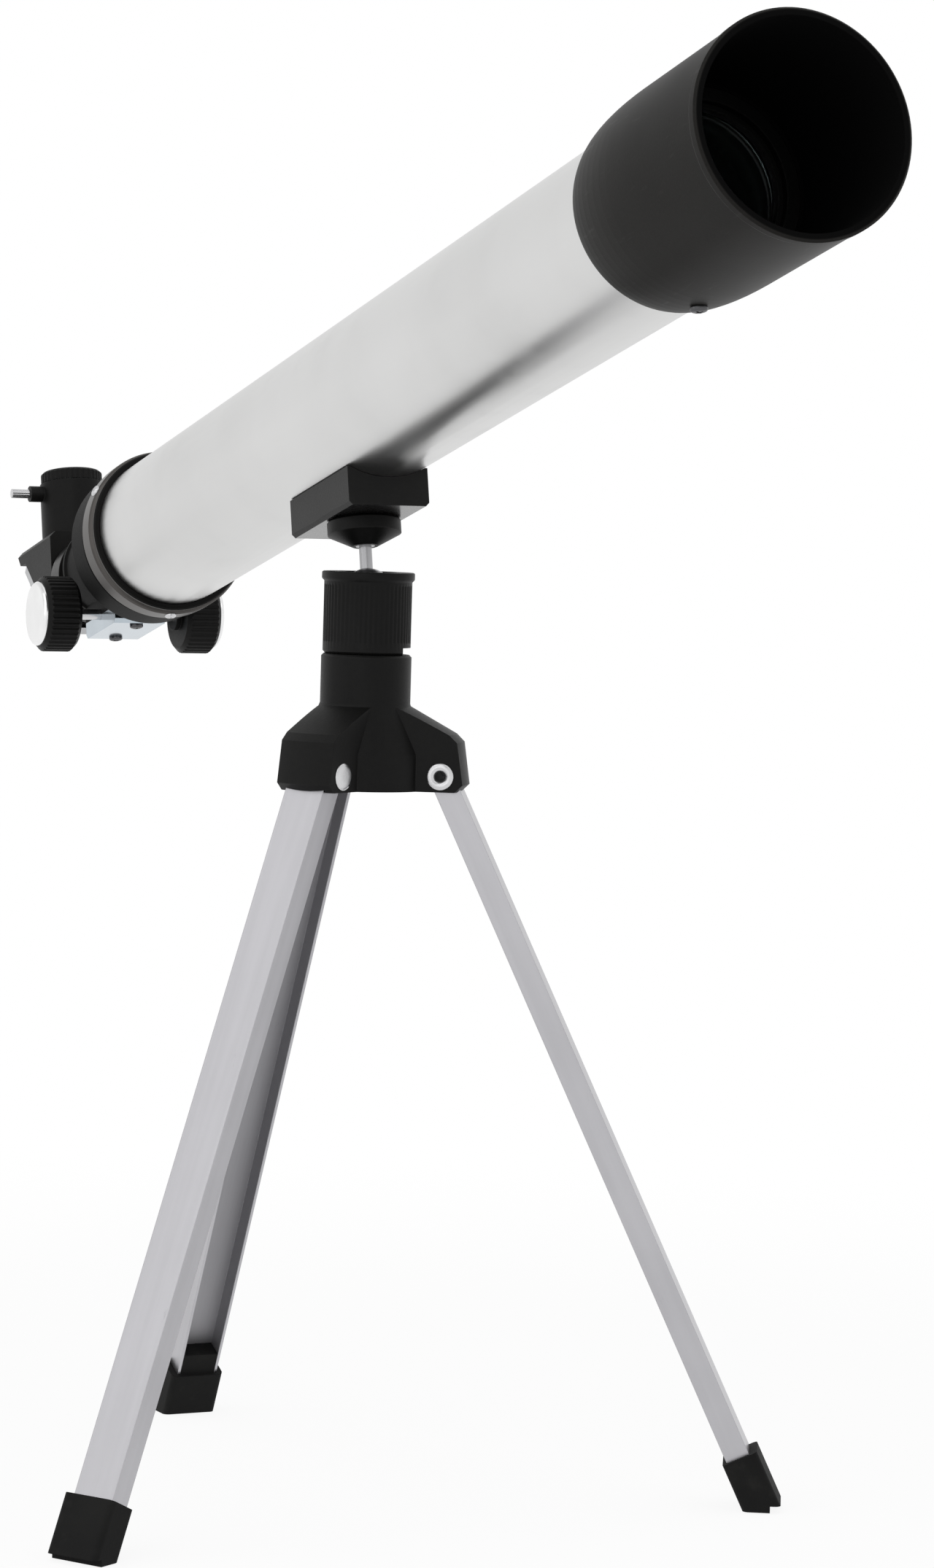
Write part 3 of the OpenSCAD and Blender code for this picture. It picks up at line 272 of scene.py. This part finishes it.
def drawn_metal(colour, rough, place_at, angles, hollow=None):
    """Metal drawn lengthwise: long streaks run down the local Z, and the hollow gets painted shade and a
    rougher surface.
    """
    def paint(place):
        local = place.turned(place_at, angles)
        lines = local.stretch(1, 1, 0.012).noise(1700, 4, 0.6)
        broad = local.stretch(1, 1, 0.03).noise(240, 3)
        cloud = place.noise(35, 4)
        scuff = local.stretch(1, 1, 0.2).noise(420, 5, 0.7).step(0.66, 0.74)
        tone = (0.5 * broad + 0.5 * cloud).step(0.3, 0.7)
        shade = tone.mix(scaled(colour, 0.9), colour)
        shade = (0.35 * scuff).mix(shade, scaled(colour, 0.7))
        gloss = rough + 0.14 * (lines - 0.5) + 0.12 * (cloud - 0.5) + 0.1 * scuff
        # Painted shade: the colour inside the hollow is darkened for the shade that falls there.
        if hollow:
            painted_channel_shade = hollow(local)
            shade = (0.8 * painted_channel_shade).mix(shade, scaled(colour, 0.7))
            gloss = gloss + 0.25 * painted_channel_shade
        return {
            "Base Color": shade,
            "Roughness": gloss,
            "Normal": (lines + 0.4 * broad).bump(0.12, 0.0001, rounded(place, 0.0003)),
        }
    return paint


def saddle_finish(place):
    """Moulded block whose underside, where the lock wheel bears, is polished."""
    painted = moulded((0.008, 0.008, 0.0078), (0.013, 0.0128, 0.0124), 0.42, 0.3)(place)
    downward = place.node("ShaderNodeNewGeometry", out="Normal").dot(-TUBE_UP)
    painted["Coat Weight"] = downward.step(0.9, 0.96) * (0.8 + 0.2 * place.noise(60, 4))
    return painted


def tube_coordinates(place):
    """Coordinates in the tube's own frame, in metres."""
    return place.turned(TUBE_MIDDLE, (0, -TUBE_TILT, 0))


def from_tube_axis(place):
    """Distance from the tube's axis."""
    _, left, up = tube_coordinates(place).axes()
    return span(left, up)


def silver_tube(place):
    """Satin silver outside, flat black inside."""
    local = tube_coordinates(place)
    outside = from_tube_axis(place).step(*TUBE_WALL)
    cloud = local.noise(14, 4)
    peel = local.noise(420, 2)
    hair = local.stretch(0.03, 1, 1).noise(500, 2)
    smudge = local.noise(38, 5, 0.6).step(0.5, 0.75)
    silver = cloud.step(0.3, 0.7).mix((0.645, 0.645, 0.64), (0.685, 0.685, 0.68))
    return {
        "Base Color": outside.mix((0.008, 0.008, 0.008), silver),
        "Metallic": outside,
        "Roughness": 0.9 + outside * (-0.595 + 0.04 * (hair - 0.5) + 0.05 * smudge),
        "Normal": peel.bump(0.004, 0.00005),
    }


def shield_finish(place):
    """Charcoal satin outside, light-trap black inside."""
    local = tube_coordinates(place)
    along, _, _ = local.axes()
    radius = from_tube_axis(place)
    bore = (1 - radius.step(*SHIELD_BORE)) * along.step(*SHIELD_FLOOR)
    rim = (1 - radius.step(*SHIELD_RIM)) * along.step(*SHIELD_MOUTH)
    outside = 1 - bore.most(rim)
    cloud = local.noise(16, 4)
    fine = local.noise(1700, 2)
    rub = local.stretch(0.15, 1, 1).noise(260, 4, 0.65).step(0.6, 0.78)
    edge = worn_edges(place, 0.0006)
    skin = (0.6 * cloud + 0.4 * fine).step(0.3, 0.7).mix((0.009, 0.0085, 0.0078), (0.0135, 0.0127, 0.0117))
    skin = (0.3 * edge + 0.1 * rub).mix(skin, (0.06, 0.058, 0.055))
    return {
        "Base Color": outside.mix((0.0025, 0.0025, 0.0025), skin),
        "Roughness": 0.92 - outside * (0.5 + 0.12 * (cloud - 0.5) + 0.08 * rub),
        "Normal": fine.bump(0.12, 0.00012, rounded(place, 0.0004)),
    }


def flange_finish(place):
    """Blackened ring with a bronze-grey band on its outer side, a painted reflection."""
    local = tube_coordinates(place)
    along, _, _ = local.axes()
    cloud = place.noise(30, 4)
    fine = local.stretch(14, 1, 1).noise(240, 3)
    # Painted reflection: the ring's outer side gets a lighter metal colour for the light it reflects.
    band = along.step(*BAND_BACK) * (1 - along.step(*BAND_FRONT))
    painted_reflection_band = band * (0.75 + 0.25 * cloud.step(0.3, 0.6))
    skin = cloud.step(0.3, 0.7).mix((0.003, 0.0029, 0.0028), (0.005, 0.0048, 0.0045))
    return {
        "Base Color": painted_reflection_band.mix(skin, (0.085, 0.080, 0.076)),
        "Metallic": 0.9 * painted_reflection_band,
        "Roughness": 0.36 + 0.12 * (cloud - 0.5) + 0.1 * (fine - 0.5) - 0.06 * band,
        "Normal": fine.bump(0.08, 0.0001, rounded(place, 0.0003)),
    }


def rubber_finish(place):
    """Dull rubber with fine pits and a little dust."""
    cloud = place.noise(60, 4)
    pits = place.noise(900, 3, 0.7)
    dust = place.noise(160, 4).step(0.5, 0.75)
    shade = cloud.step(0.3, 0.7).mix((0.006, 0.006, 0.006), (0.010, 0.010, 0.0095))
    return {
        "Base Color": (0.2 * dust).mix(shade, (0.04, 0.039, 0.037)),
        "Roughness": 0.74 + 0.18 * (cloud - 0.5) + 0.1 * dust,
        "Normal": pits.bump(0.3, 0.0002, rounded(place, 0.0006)),
    }


RING_PACE = 9000  # radians of the ring pattern per metre


def turned_face(colour, rough, middle):
    """Metal faced on a lathe: fine rings about an axis across the tube."""
    def paint(place):
        along, _, up = place.turned(middle, (0, -TUBE_TILT, 0)).axes()
        phase = span(along, up) * RING_PACE
        rings = phase.math("SINE", phase)
        cloud = place.noise(70, 4)
        grain = place.noise(1900, 3)
        shade = cloud.step(0.3, 0.7).mix(scaled(colour, 0.92), colour)
        return {
            "Base Color": shade,
            "Roughness": rough + 0.1 * (cloud - 0.5) + 0.08 * (grain - 0.5),
            "Normal": (rings + grain).bump(0.1, 0.0001, rounded(place, 0.0003)),
        }
    return paint


def lens_finish(place):
    """Coated glass with a few specks of dust."""
    bloom = place.noise(45, 3)
    dust = place.noise(900, 4, 0.7).step(0.68, 0.8)
    return {
        "Base Color": bloom.mix((0.80, 0.93, 0.88), (0.88, 0.90, 0.95)),
        "Roughness": 0.01 + 0.12 * dust,
    }


def mirror_finish(place):
    """Silvered glass with a faint haze."""
    haze = place.noise(60, 4)
    return {"Base Color": haze.mix((0.86, 0.88, 0.9), (0.9, 0.91, 0.92)), "Roughness": 0.01 + 0.03 * haze}


LEG_SPLAY = math.radians(25.2)
SIDES = ("left", "right", "rear")


def leg_frame(side):
    """Place and turn of a leg's own frame: +X outwards and +Z up along the leg."""
    pivot = Vector(joints[side + "_leg_fold"]["pos_m"])
    return pivot, (0, -LEG_SPLAY, math.atan2(pivot.y, pivot.x))


bright_steel = flat_metal((0.66, 0.66, 0.67), 0.24, 120)


def rivet_finish(side):
    """Bright steel with painted shade inside the rivet's open end."""
    pivot, (_, _, heading) = leg_frame(side)
    sideways = Vector((-math.sin(heading), math.cos(heading), 0))
    open_end = -Vector(joints[side + "_leg_fold"]["axis"]).dot(sideways)

    def paint(place):
        painted = bright_steel(place)
        outward, across, up = place.turned(pivot, (0, 0, heading)).axes()
        # Painted shade: the colour in the rivet's hollow end is darkened for the shade inside the hole.
        bore = (1 - span(outward, up).step(*RIVET_BORE)) * (open_end * across).step(*RIVET_DEPTH)
        painted["Base Color"] = bore.mix(painted["Base Color"], (0.08, 0.08, 0.08))
        painted["Roughness"] = painted["Roughness"] + 0.3 * bore
        return painted
    return paint


BLACK_DARK, BLACK_LIGHT = (0.0035, 0.0035, 0.0034), (0.0062, 0.0061, 0.0058)
black_plastic = moulded(BLACK_DARK, BLACK_LIGHT, 0.44, 0.25)
focuser_plastic = moulded(BLACK_DARK, BLACK_LIGHT, 0.52, 0.25)
anodised_metal = moulded((0.0045, 0.0044, 0.0042), (0.008, 0.0077, 0.0073), 0.34, 0.12)
finishes = {
    "black": material("black_moulding", black_plastic, specular_ior_level=0.13),
    "saddle": material("saddle_moulding", saddle_finish, specular_ior_level=0.13, coat_roughness=0.18),
    "anodised": material("anodised_black", anodised_metal, specular_ior_level=0.25),
    "housing": material("focuser_moulding", focuser_plastic, specular_ior_level=0.06),
    "flange": material("flange_painted_band", flange_finish, specular_ior_level=0.1),
    "rubber": material("foot_rubber", rubber_finish, specular_ior_level=0.15),
    "silver": material("silver_tube", silver_tube),
    "shield": material("charcoal_shield", shield_finish, specular_ior_level=0.06),
    "steel": material("bright_steel", bright_steel, metallic=1.0),
    "stem": material("zinc_stem", flat_metal((0.40, 0.40, 0.41), 0.3, 120), metallic=1.0),
    "dark_steel": material("dark_steel", flat_metal((0.10, 0.10, 0.105), 0.34, 120), metallic=1.0),
    "chrome": material("bright_plating", flat_metal((0.80, 0.83, 0.86), 0.1, 60), metallic=1.0),
    "cover": material("zinc_plating", flat_metal((0.50, 0.56, 0.61), 0.14, 60), metallic=1.0),
    "brass": material("brass", flat_metal((0.72, 0.52, 0.22), 0.28, 90), metallic=1.0),
    "white": material("white_moulding", moulded((0.62, 0.62, 0.6), (0.68, 0.68, 0.66), 0.4, 0.1)),
    "glass": material("coated_glass", lens_finish, transmission_weight=1.0, ior=1.52),
    "mirror": material("mirror_silver", mirror_finish, metallic=1.0),
}
KNOB_FACE = tube_frame(PINION_AT, 0, PINION_HEIGHT).to_translation()
finishes["cap"] = material("turned_cap", turned_face((0.90, 0.90, 0.90), 0.2, KNOB_FACE), metallic=1.0)
PLATE_MIDDLE = tube_frame(DIAGONAL_AT, 0, 0).to_translation()
PLATE_TURN = (0, -TUBE_TILT - MIRROR_SLOPE, 0)
finishes["plate"] = material(
    "brushed_plate", drawn_metal((0.50, 0.505, 0.515), 0.32, PLATE_MIDDLE, PLATE_TURN), metallic=1.0)
for side in SIDES:
    # Each leg's metal carries painted shade inside its channel.
    leg_metal = drawn_metal((0.515, 0.510, 0.532), 0.34, *leg_frame(side), channel_shade_mask)
    finishes[side + "_leg"] = material(side + "_leg_metal", leg_metal, metallic=1.0)
    finishes[side + "_rivet"] = material(side + "_rivet_steel", rivet_finish(side), metallic=1.0)

NODE_FINISH = {
    "black": "tripod_hub lock_wheel lock_collar lens_cell lens_retainer front_baffle rear_baffle "
             "left_knob right_knob diagonal_body eyepiece_body",
    "saddle": "saddle_block",
    "anodised": "drawtube",
    "housing": "focuser_housing lens_spacer",
    "flange": "tail_flange",
    "rubber": "left_foot right_foot rear_foot seat_pad",
    "silver": "main_tube",
    "shield": "dew_shield",
    "stem": "ball_stem",
    "steel": "leg_rivets saddle_screws flange_screws focus_pinion eyepiece_screw diagonal_screw",
    "dark_steel": "pinion_cover_screws shield_screw diagonal_cover_screws",
    "chrome": "eyepiece_barrel",
    "cover": "pinion_cover",
    "cap": "left_knob_cap right_knob_cap",
    "plate": "diagonal_cover",
    "brass": "thread_insert focus_rack",
    "white": "ball_seat",
    "glass": "flint_lens crown_lens field_lens eye_lens",
    "mirror": "diagonal_mirror",
    "left_leg": "left_leg",
    "right_leg": "right_leg",
    "rear_leg": "rear_leg",
}
for finish, names in NODE_FINISH.items():
    for name in names.split():
        nodes[name].data.materials.clear()
        nodes[name].data.materials.append(finishes[finish])


WELD = 0.000001  # vertices nearer than this, in metres, are one


def lathe(name, profile, sides=48, hollow=False):
    """A piece turned about Z from a profile of radius and height in millimetres."""
    bpy.ops.object.select_all(action="DESELECT")
    fill = "NOTHING" if hollow else "NGON"
    radius, height = profile[0]
    bpy.ops.mesh.primitive_circle_add(
        vertices=sides, radius=radius * MM, fill_type=fill, location=(0, 0, height * MM))
    piece = bpy.context.object
    piece.name = name
    bpy.ops.object.transform_apply(location=True, rotation=True, scale=True)
    bpy.ops.object.mode_set(mode="EDIT")
    bpy.ops.mesh.select_all(action="SELECT")
    for (radius, height), (next_radius, next_height) in zip(profile, profile[1:]):
        rise = (next_height - height) * MM
        bpy.ops.mesh.extrude_region_move(TRANSFORM_OT_translate={"value": (0, 0, rise)})
        grow = next_radius / radius
        bpy.ops.transform.resize(value=(grow, grow, 1))
    bpy.ops.mesh.select_all(action="SELECT")
    bpy.ops.mesh.remove_doubles(threshold=WELD)
    bpy.ops.mesh.normals_make_consistent(inside=False)
    bpy.ops.object.mode_set(mode="OBJECT")
    return piece


def press_in(piece, chosen, grow):
    """Resizes the chosen vertices about the piece's own axis."""
    for vertex in piece.data.vertices:
        vertex.select = chosen(vertex.co)
    bpy.ops.object.mode_set(mode="EDIT")
    bpy.ops.transform.resize(value=(grow, grow, 1), center_override=(0, 0, 0))
    bpy.ops.object.mode_set(mode="OBJECT")


def only_vertices(piece):
    """Clears the selection and leaves the piece in vertex mode."""
    bpy.ops.object.mode_set(mode="EDIT")
    bpy.ops.mesh.select_mode(type="VERT")
    bpy.ops.mesh.select_all(action="DESELECT")
    bpy.ops.object.mode_set(mode="OBJECT")


COLUMNS_PER_RIB = 4


def flute(piece, ribs, low, high, radius, depth):
    """Presses upright grooves into a turned band, two columns of vertices out of each four."""
    only_vertices(piece)
    columns = COLUMNS_PER_RIB * ribs
    nearly = radius - 0.2

    def in_groove(point):
        column = round(math.atan2(point.y, point.x) / (2 * math.pi) * columns) % COLUMNS_PER_RIB
        on_band = low * MM <= point.z <= high * MM and math.hypot(point.x, point.y) > nearly * MM
        return on_band and column >= COLUMNS_PER_RIB // 2
    press_in(piece, in_groove, 1 - depth / radius)


def smooth(piece, degrees=32):
    """Shades the piece smooth, except at edges sharper than the angle."""
    bpy.ops.object.select_all(action="DESELECT")
    piece.select_set(True)
    bpy.context.view_layer.objects.active = piece
    bpy.ops.object.shade_smooth_by_angle(angle=math.radians(degrees))


def cut(piece, tool):
    """Takes the tool's shape out of the piece."""
    cutter = piece.modifiers.new("cut", "BOOLEAN")
    cutter.operation = "DIFFERENCE"
    cutter.object = tool
    bpy.context.view_layer.objects.active = piece
    bpy.ops.object.modifier_apply(modifier="cut")
    bpy.data.objects.remove(tool)


def block(place, turn, size):
    """A box of a size in millimetres, with its middle at a place and turned about Z."""
    bpy.ops.object.select_all(action="DESELECT")
    bpy.ops.mesh.primitive_cube_add(size=1, location=scaled(place, MM), rotation=(0, 0, turn))
    made = bpy.context.object
    made.scale = scaled(size, MM)
    bpy.ops.object.transform_apply(location=True, rotation=True, scale=True)
    return made


def cross_screw(head_radius, head_height, shank_radius, shank):
    """Pan-head screw with a tapered cross recess, its seat at the origin."""
    r, h = head_radius, head_height
    profile = [(shank_radius, -shank), (shank_radius, 0), (0.97 * r, 0), (r, 0.08 * h), (r, 0.42 * h),
               (0.95 * r, 0.64 * h), (0.82 * r, 0.82 * h), (0.6 * r, 0.94 * h), (0.3 * r, h)]
    piece = lathe("screw", profile, 40)
    recess, recess_middle, taper = (1.24 * r, 0.34 * r, 1.1 * h), 1.02 * h, 0.7
    for turn in (0, 90):
        bar = block((0, 0, recess_middle), math.radians(turn), recess)
        only_vertices(bar)
        press_in(bar, lambda point: point.z < h * MM, taper)
        cut(piece, bar)
    smooth(piece)
    return piece


def set_piece(template, name, place, body, node, finish, last=True):
    """Puts the template, or a copy of it with its own mesh, in its place on a body."""
    piece = template
    bpy.ops.object.select_all(action="DESELECT")
    template.select_set(True)
    bpy.context.view_layer.objects.active = template
    if not last:
        bpy.ops.object.duplicate(linked=False)
        piece = bpy.context.object
    piece.name = name
    piece.matrix_world = place
    bpy.ops.object.transform_apply(location=True, rotation=True, scale=True)
    piece.data.materials.clear()
    piece.data.materials.append(finishes[finish])
    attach(piece, body)
    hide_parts(node)


def lift(height):
    """A move along Z by a height in millimetres."""
    return Matrix.Translation((0, 0, height * MM))


def round_tube(place, degrees, radius):
    """A frame on the tube's side with +Z outwards; 0 degrees is its top."""
    return tube_frame(place, 0, 0) @ Matrix.Rotation(math.radians(degrees), 4, "X") @ lift(radius)


FIRST_SPIN, NEXT_SPIN = 17, 38  # degrees, so that the recesses don't line up


def set_screws(prefix, places, screw, body, node, finish):
    """One screw modelled and copied to all its places."""
    template = cross_screw(*screw)
    for number, place in enumerate(places, 1):
        name = f"{prefix}_{number}" if len(places) > 1 else prefix
        spin = Matrix.Rotation(math.radians(FIRST_SPIN + NEXT_SPIN * number), 4, "Z")
        set_piece(template, name, place @ spin, body, node, finish, number == len(places))


# Screws: radius and height of the head, radius and length of the shank
SHIELD_SCREW, FLANGE_SCREW = (2.6, 1.5, 1.2, 3), (2.1, 1.7, 1.1, 3)
COVER_SCREW, PLATE_SCREW = (2.5, 1.4, 1.4, 4), (1.7, 0.9, 0.9, 4)
# Their seats: place along the tube and distance from its axis, and the plates' hole spacing
SHIELD_SEAT, FLANGE_SEAT, COVER_SEAT = (262, 31.96), (-197.8, 30.1), (PINION_AT, 26.78)
COVER_HOLE, PLATE_HOLE, PLATE_FACE = 12.5, (12, 13.15), 5.24
UNDERNEATH = 180


def spread(reach):
    """The places at a reach on either side of a middle."""
    return -reach, reach


at, radius = SHIELD_SEAT
set_screws("dew_shield_screw", [round_tube(at, UNDERNEATH, radius)], SHIELD_SCREW,
           "tube", "shield_screw", "dark_steel")
at, radius = FLANGE_SEAT
set_screws("tail_flange_screw", [round_tube(at, turn, radius) for turn in (60, 180, 300)], FLANGE_SCREW,
           "tube", "flange_screws", "steel")
at, radius = COVER_SEAT
cover_seats = [round_tube(at + shift, UNDERNEATH, radius) for shift in spread(COVER_HOLE)]
set_screws("focuser_cover_screw", cover_seats, COVER_SCREW,
           "tube", "pinion_cover_screws", "dark_steel")
slope = tube_frame(DIAGONAL_AT, 0, 0) @ Matrix.Rotation(MIRROR_SLOPE - math.pi, 4, "Y") @ lift(PLATE_FACE)
holes = [(x, y, 0) for x in spread(PLATE_HOLE[0]) for y in spread(PLATE_HOLE[1])]
set_screws("diagonal_plate_screw", [slope @ Matrix.Translation(scaled(hole, MM)) for hole in holes],
           PLATE_SCREW, "diagonal", "diagonal_cover_screws", "dark_steel")


def set_rivets():
    """Hollow rivets: a rolled open end on one side and a domed end on the other."""
    half = 10.5  # from the leg's middle to the hub's outer face
    domed_end = [(1.6, -half - 1.0), (3.2, -half - 0.95), (4.0, -half - 0.78), (4.38, -half - 0.5),
                 (4.5, -half - 0.2), (4.42, -half), (1.95, -half)]
    rolled_end = [(1.9, half), (4.42, half), (4.5, half + 0.22), (4.36, half + 0.55), (4.0, half + 0.82),
                  (3.5, half + 0.97), (3.0, half + 1.0), (2.5, half + 0.9), (2.1, half + 0.62),
                  (1.85, half + 0.2), (1.7, half - 0.5), (1.4, half - 3.2), (0.7, half - 4.4),
                  (0.2, half - 4.8)]
    dome = lathe("dome", domed_end + [(1.95, half)])
    rolled = lathe("rolled", rolled_end)
    bpy.ops.object.select_all(action="DESELECT")
    dome.select_set(True)
    rolled.select_set(True)
    bpy.context.view_layer.objects.active = dome
    bpy.ops.object.join()
    smooth(dome, 50)
    for side in SIDES:
        joint = joints[side + "_leg_fold"]
        axis = -Vector(joint["axis"])
        place = Matrix.Translation(joint["pos_m"]) @ axis.to_track_quat("Z", "Y").to_matrix().to_4x4()
        set_piece(dome, side + "_leg_rivet", place, "hub", "leg_rivets", side + "_rivet",
                  side == SIDES[-1])


set_rivets()


def set_collar():
    """Lock collar with a fluted grip between a plain foot and a proud rim."""
    low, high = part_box("lock_collar")
    base, top = low.z / MM, high.z / MM
    outer, rim = 14.5, 15.3
    bore, bore_top, chamber, chamber_top = 11.45, base + 10.1, 9.8, base + 20.6
    lip, lip_height, lip_flare = 7.53, top - 2.6, 9.43
    grip_low, grip_high = base + 4.2, top - 4.6
    ribs, groove, chamfer = 56, 0.28, 0.8
    profile = [(bore, base), (outer - chamfer, base), (outer, base + chamfer), (outer, grip_low - 0.5),
               (outer, grip_low), (outer, grip_high), (outer, grip_high + 0.5), (outer, top - 3.2),
               (rim - 0.1, top - 2.45), (rim, top - 2.2), (rim, top - 0.5), (rim - 0.15, top - 0.15),
               (rim - 0.5, top), (lip_flare, top), (lip, lip_height), (chamber, chamber_top),
               (chamber, bore_top), (bore, bore_top), (bore, base)]
    collar = lathe("collar", profile, COLUMNS_PER_RIB * ribs, hollow=True)
    flute(collar, ribs, grip_low - 0.1, grip_high + 0.1, outer, groove)
    # A straight cut across the foot, made with a box that reaches out past it and below it
    notch_turn, notch_width, notch_depth, notch_height = math.radians(68), 20, 2.5, 2.3
    reach, drop = 10, 4
    middle = outer - notch_depth + reach / 2
    place = (middle * math.cos(notch_turn), middle * math.sin(notch_turn), base + notch_height - drop / 2)
    cut(collar, block(place, notch_turn, (reach, notch_width, drop)))
    smooth(collar)
    set_piece(collar, "ball_lock_collar", Matrix.Identity(4), "collar", "lock_collar",
              "black")


set_collar()


# Lamps: place, size and power, and the cosines between which the world darkens behind it in reflections
LAMPS = {
    "key": ((0.9, -1.7, 1.3), (3.2, 2.6), 28, (0.78, 0.88)),
    "top": ((0.1, 0.2, 2.0), (2.8, 2.8), 20, (0.72, 0.85)),
}
LAMP_AIM = Vector((0, 0, 0.3))
# World: its strength as light and as seen, and what reflections add to it low down,
# lose higher up and lose at a lamp
AMBIENT, WHITE = 0.45, 1.0
MIRRORED_LOW, MIRRORED_FALL, MIRRORED_LAMP = 0.53, 0.26, -0.35
# Floor: size, drop below the feet and tone, its white share near the object, and where that rises to all
FLOOR_SIZE, FLOOR_DROP, FLOOR_TONE = 8, 0.0003, 0.86
FLOOR_GLOW, GLOW_NEAR, GLOW_FAR = 0.9, 0.3, 0.8


def rays(tree, *kinds):
    """1 for rays of one of the kinds, 0 for all others."""
    path = Wire(tree).node("ShaderNodeLightPath").socket.node
    first, *others = [Wire(tree, path.outputs[f"Is {kind} Ray"]) for kind in kinds]
    for other in others:
        first = first.most(other)
    return first


def surround():
    """A world that is white to the camera and dim as light, and that mirrors show with the lamps left out."""
    world = bpy.data.worlds.new("surround")
    bpy.context.scene.world = world
    world.use_nodes = True
    tree = world.node_tree
    tree.nodes.clear()
    start = Wire(tree)
    direction = start.node("ShaderNodeTexCoord", out="Generated")
    _, _, height = direction.axes()
    key, top = [direction.dot((Vector(place) - LAMP_AIM).normalized()).step(*edge)
                for place, _, _, edge in LAMPS.values()]
    lamps = key.most(top)
    mirrored = (1 - lamps) * (MIRRORED_LOW - MIRRORED_FALL * height.step(-0.1, 1.0)) + MIRRORED_LAMP * lamps
    seen = rays(tree, "Camera") * (WHITE - AMBIENT)
    strength = AMBIENT + seen + rays(tree, "Glossy", "Transmission") * mirrored
    light = start.node("ShaderNodeBackground", {}, {"Color": rgba((1, 1, 1)), "Strength": strength})
    start.node("ShaderNodeOutputWorld", {}, {"Surface": light})


def pale_floor():
    """A floor that fades to white away from the object and keeps its shadow."""
    bpy.ops.object.select_all(action="DESELECT")
    bpy.ops.mesh.primitive_plane_add(size=FLOOR_SIZE, location=(0, 0, -FLOOR_DROP))
    floor = bpy.context.object
    floor.name = "floor"
    made = bpy.data.materials.new("floor_white")
    made.use_nodes = True
    tree = made.node_tree
    tree.nodes.clear()
    start = Wire(tree)
    x, y, _ = start.node("ShaderNodeTexCoord", out="Object").axes()
    far = span(x, y).step(GLOW_NEAR, GLOW_FAR)
    matt = start.node("ShaderNodeBsdfDiffuse", {}, {"Color": rgba((FLOOR_TONE, FLOOR_TONE, FLOOR_TONE))})
    glow = start.node("ShaderNodeEmission", {}, {"Color": rgba((1, 1, 1)), "Strength": WHITE})
    part = rays(tree, "Camera", "Glossy", "Transmission") * (FLOOR_GLOW + (1 - FLOOR_GLOW) * far)
    mixed = start.node("ShaderNodeMixShader", {}, {0: part, 1: matt, 2: glow})
    start.node("ShaderNodeOutputMaterial", {}, {"Surface": mixed})
    floor.data.materials.append(made)


def soft_box(name, place, size, power):
    """A large soft lamp that looks at the object."""
    data = bpy.data.lights.new(name, "AREA")
    data.shape = "RECTANGLE"
    data.size, data.size_y = size
    data.energy = power
    lamp = bpy.data.objects.new(name, data)
    bpy.context.collection.objects.link(lamp)
    look = LAMP_AIM - Vector(place)
    lamp.matrix_world = Matrix.Translation(place) @ look.to_track_quat("-Z", "Y").to_matrix().to_4x4()


def studio():
    """Pale floor, white surround and soft light."""
    bpy.context.scene.view_settings.view_transform = "Standard"
    surround()
    pale_floor()
    for name, (place, size, power, _) in LAMPS.items():
        soft_box(name, place, size, power)


place_camera()
studio()
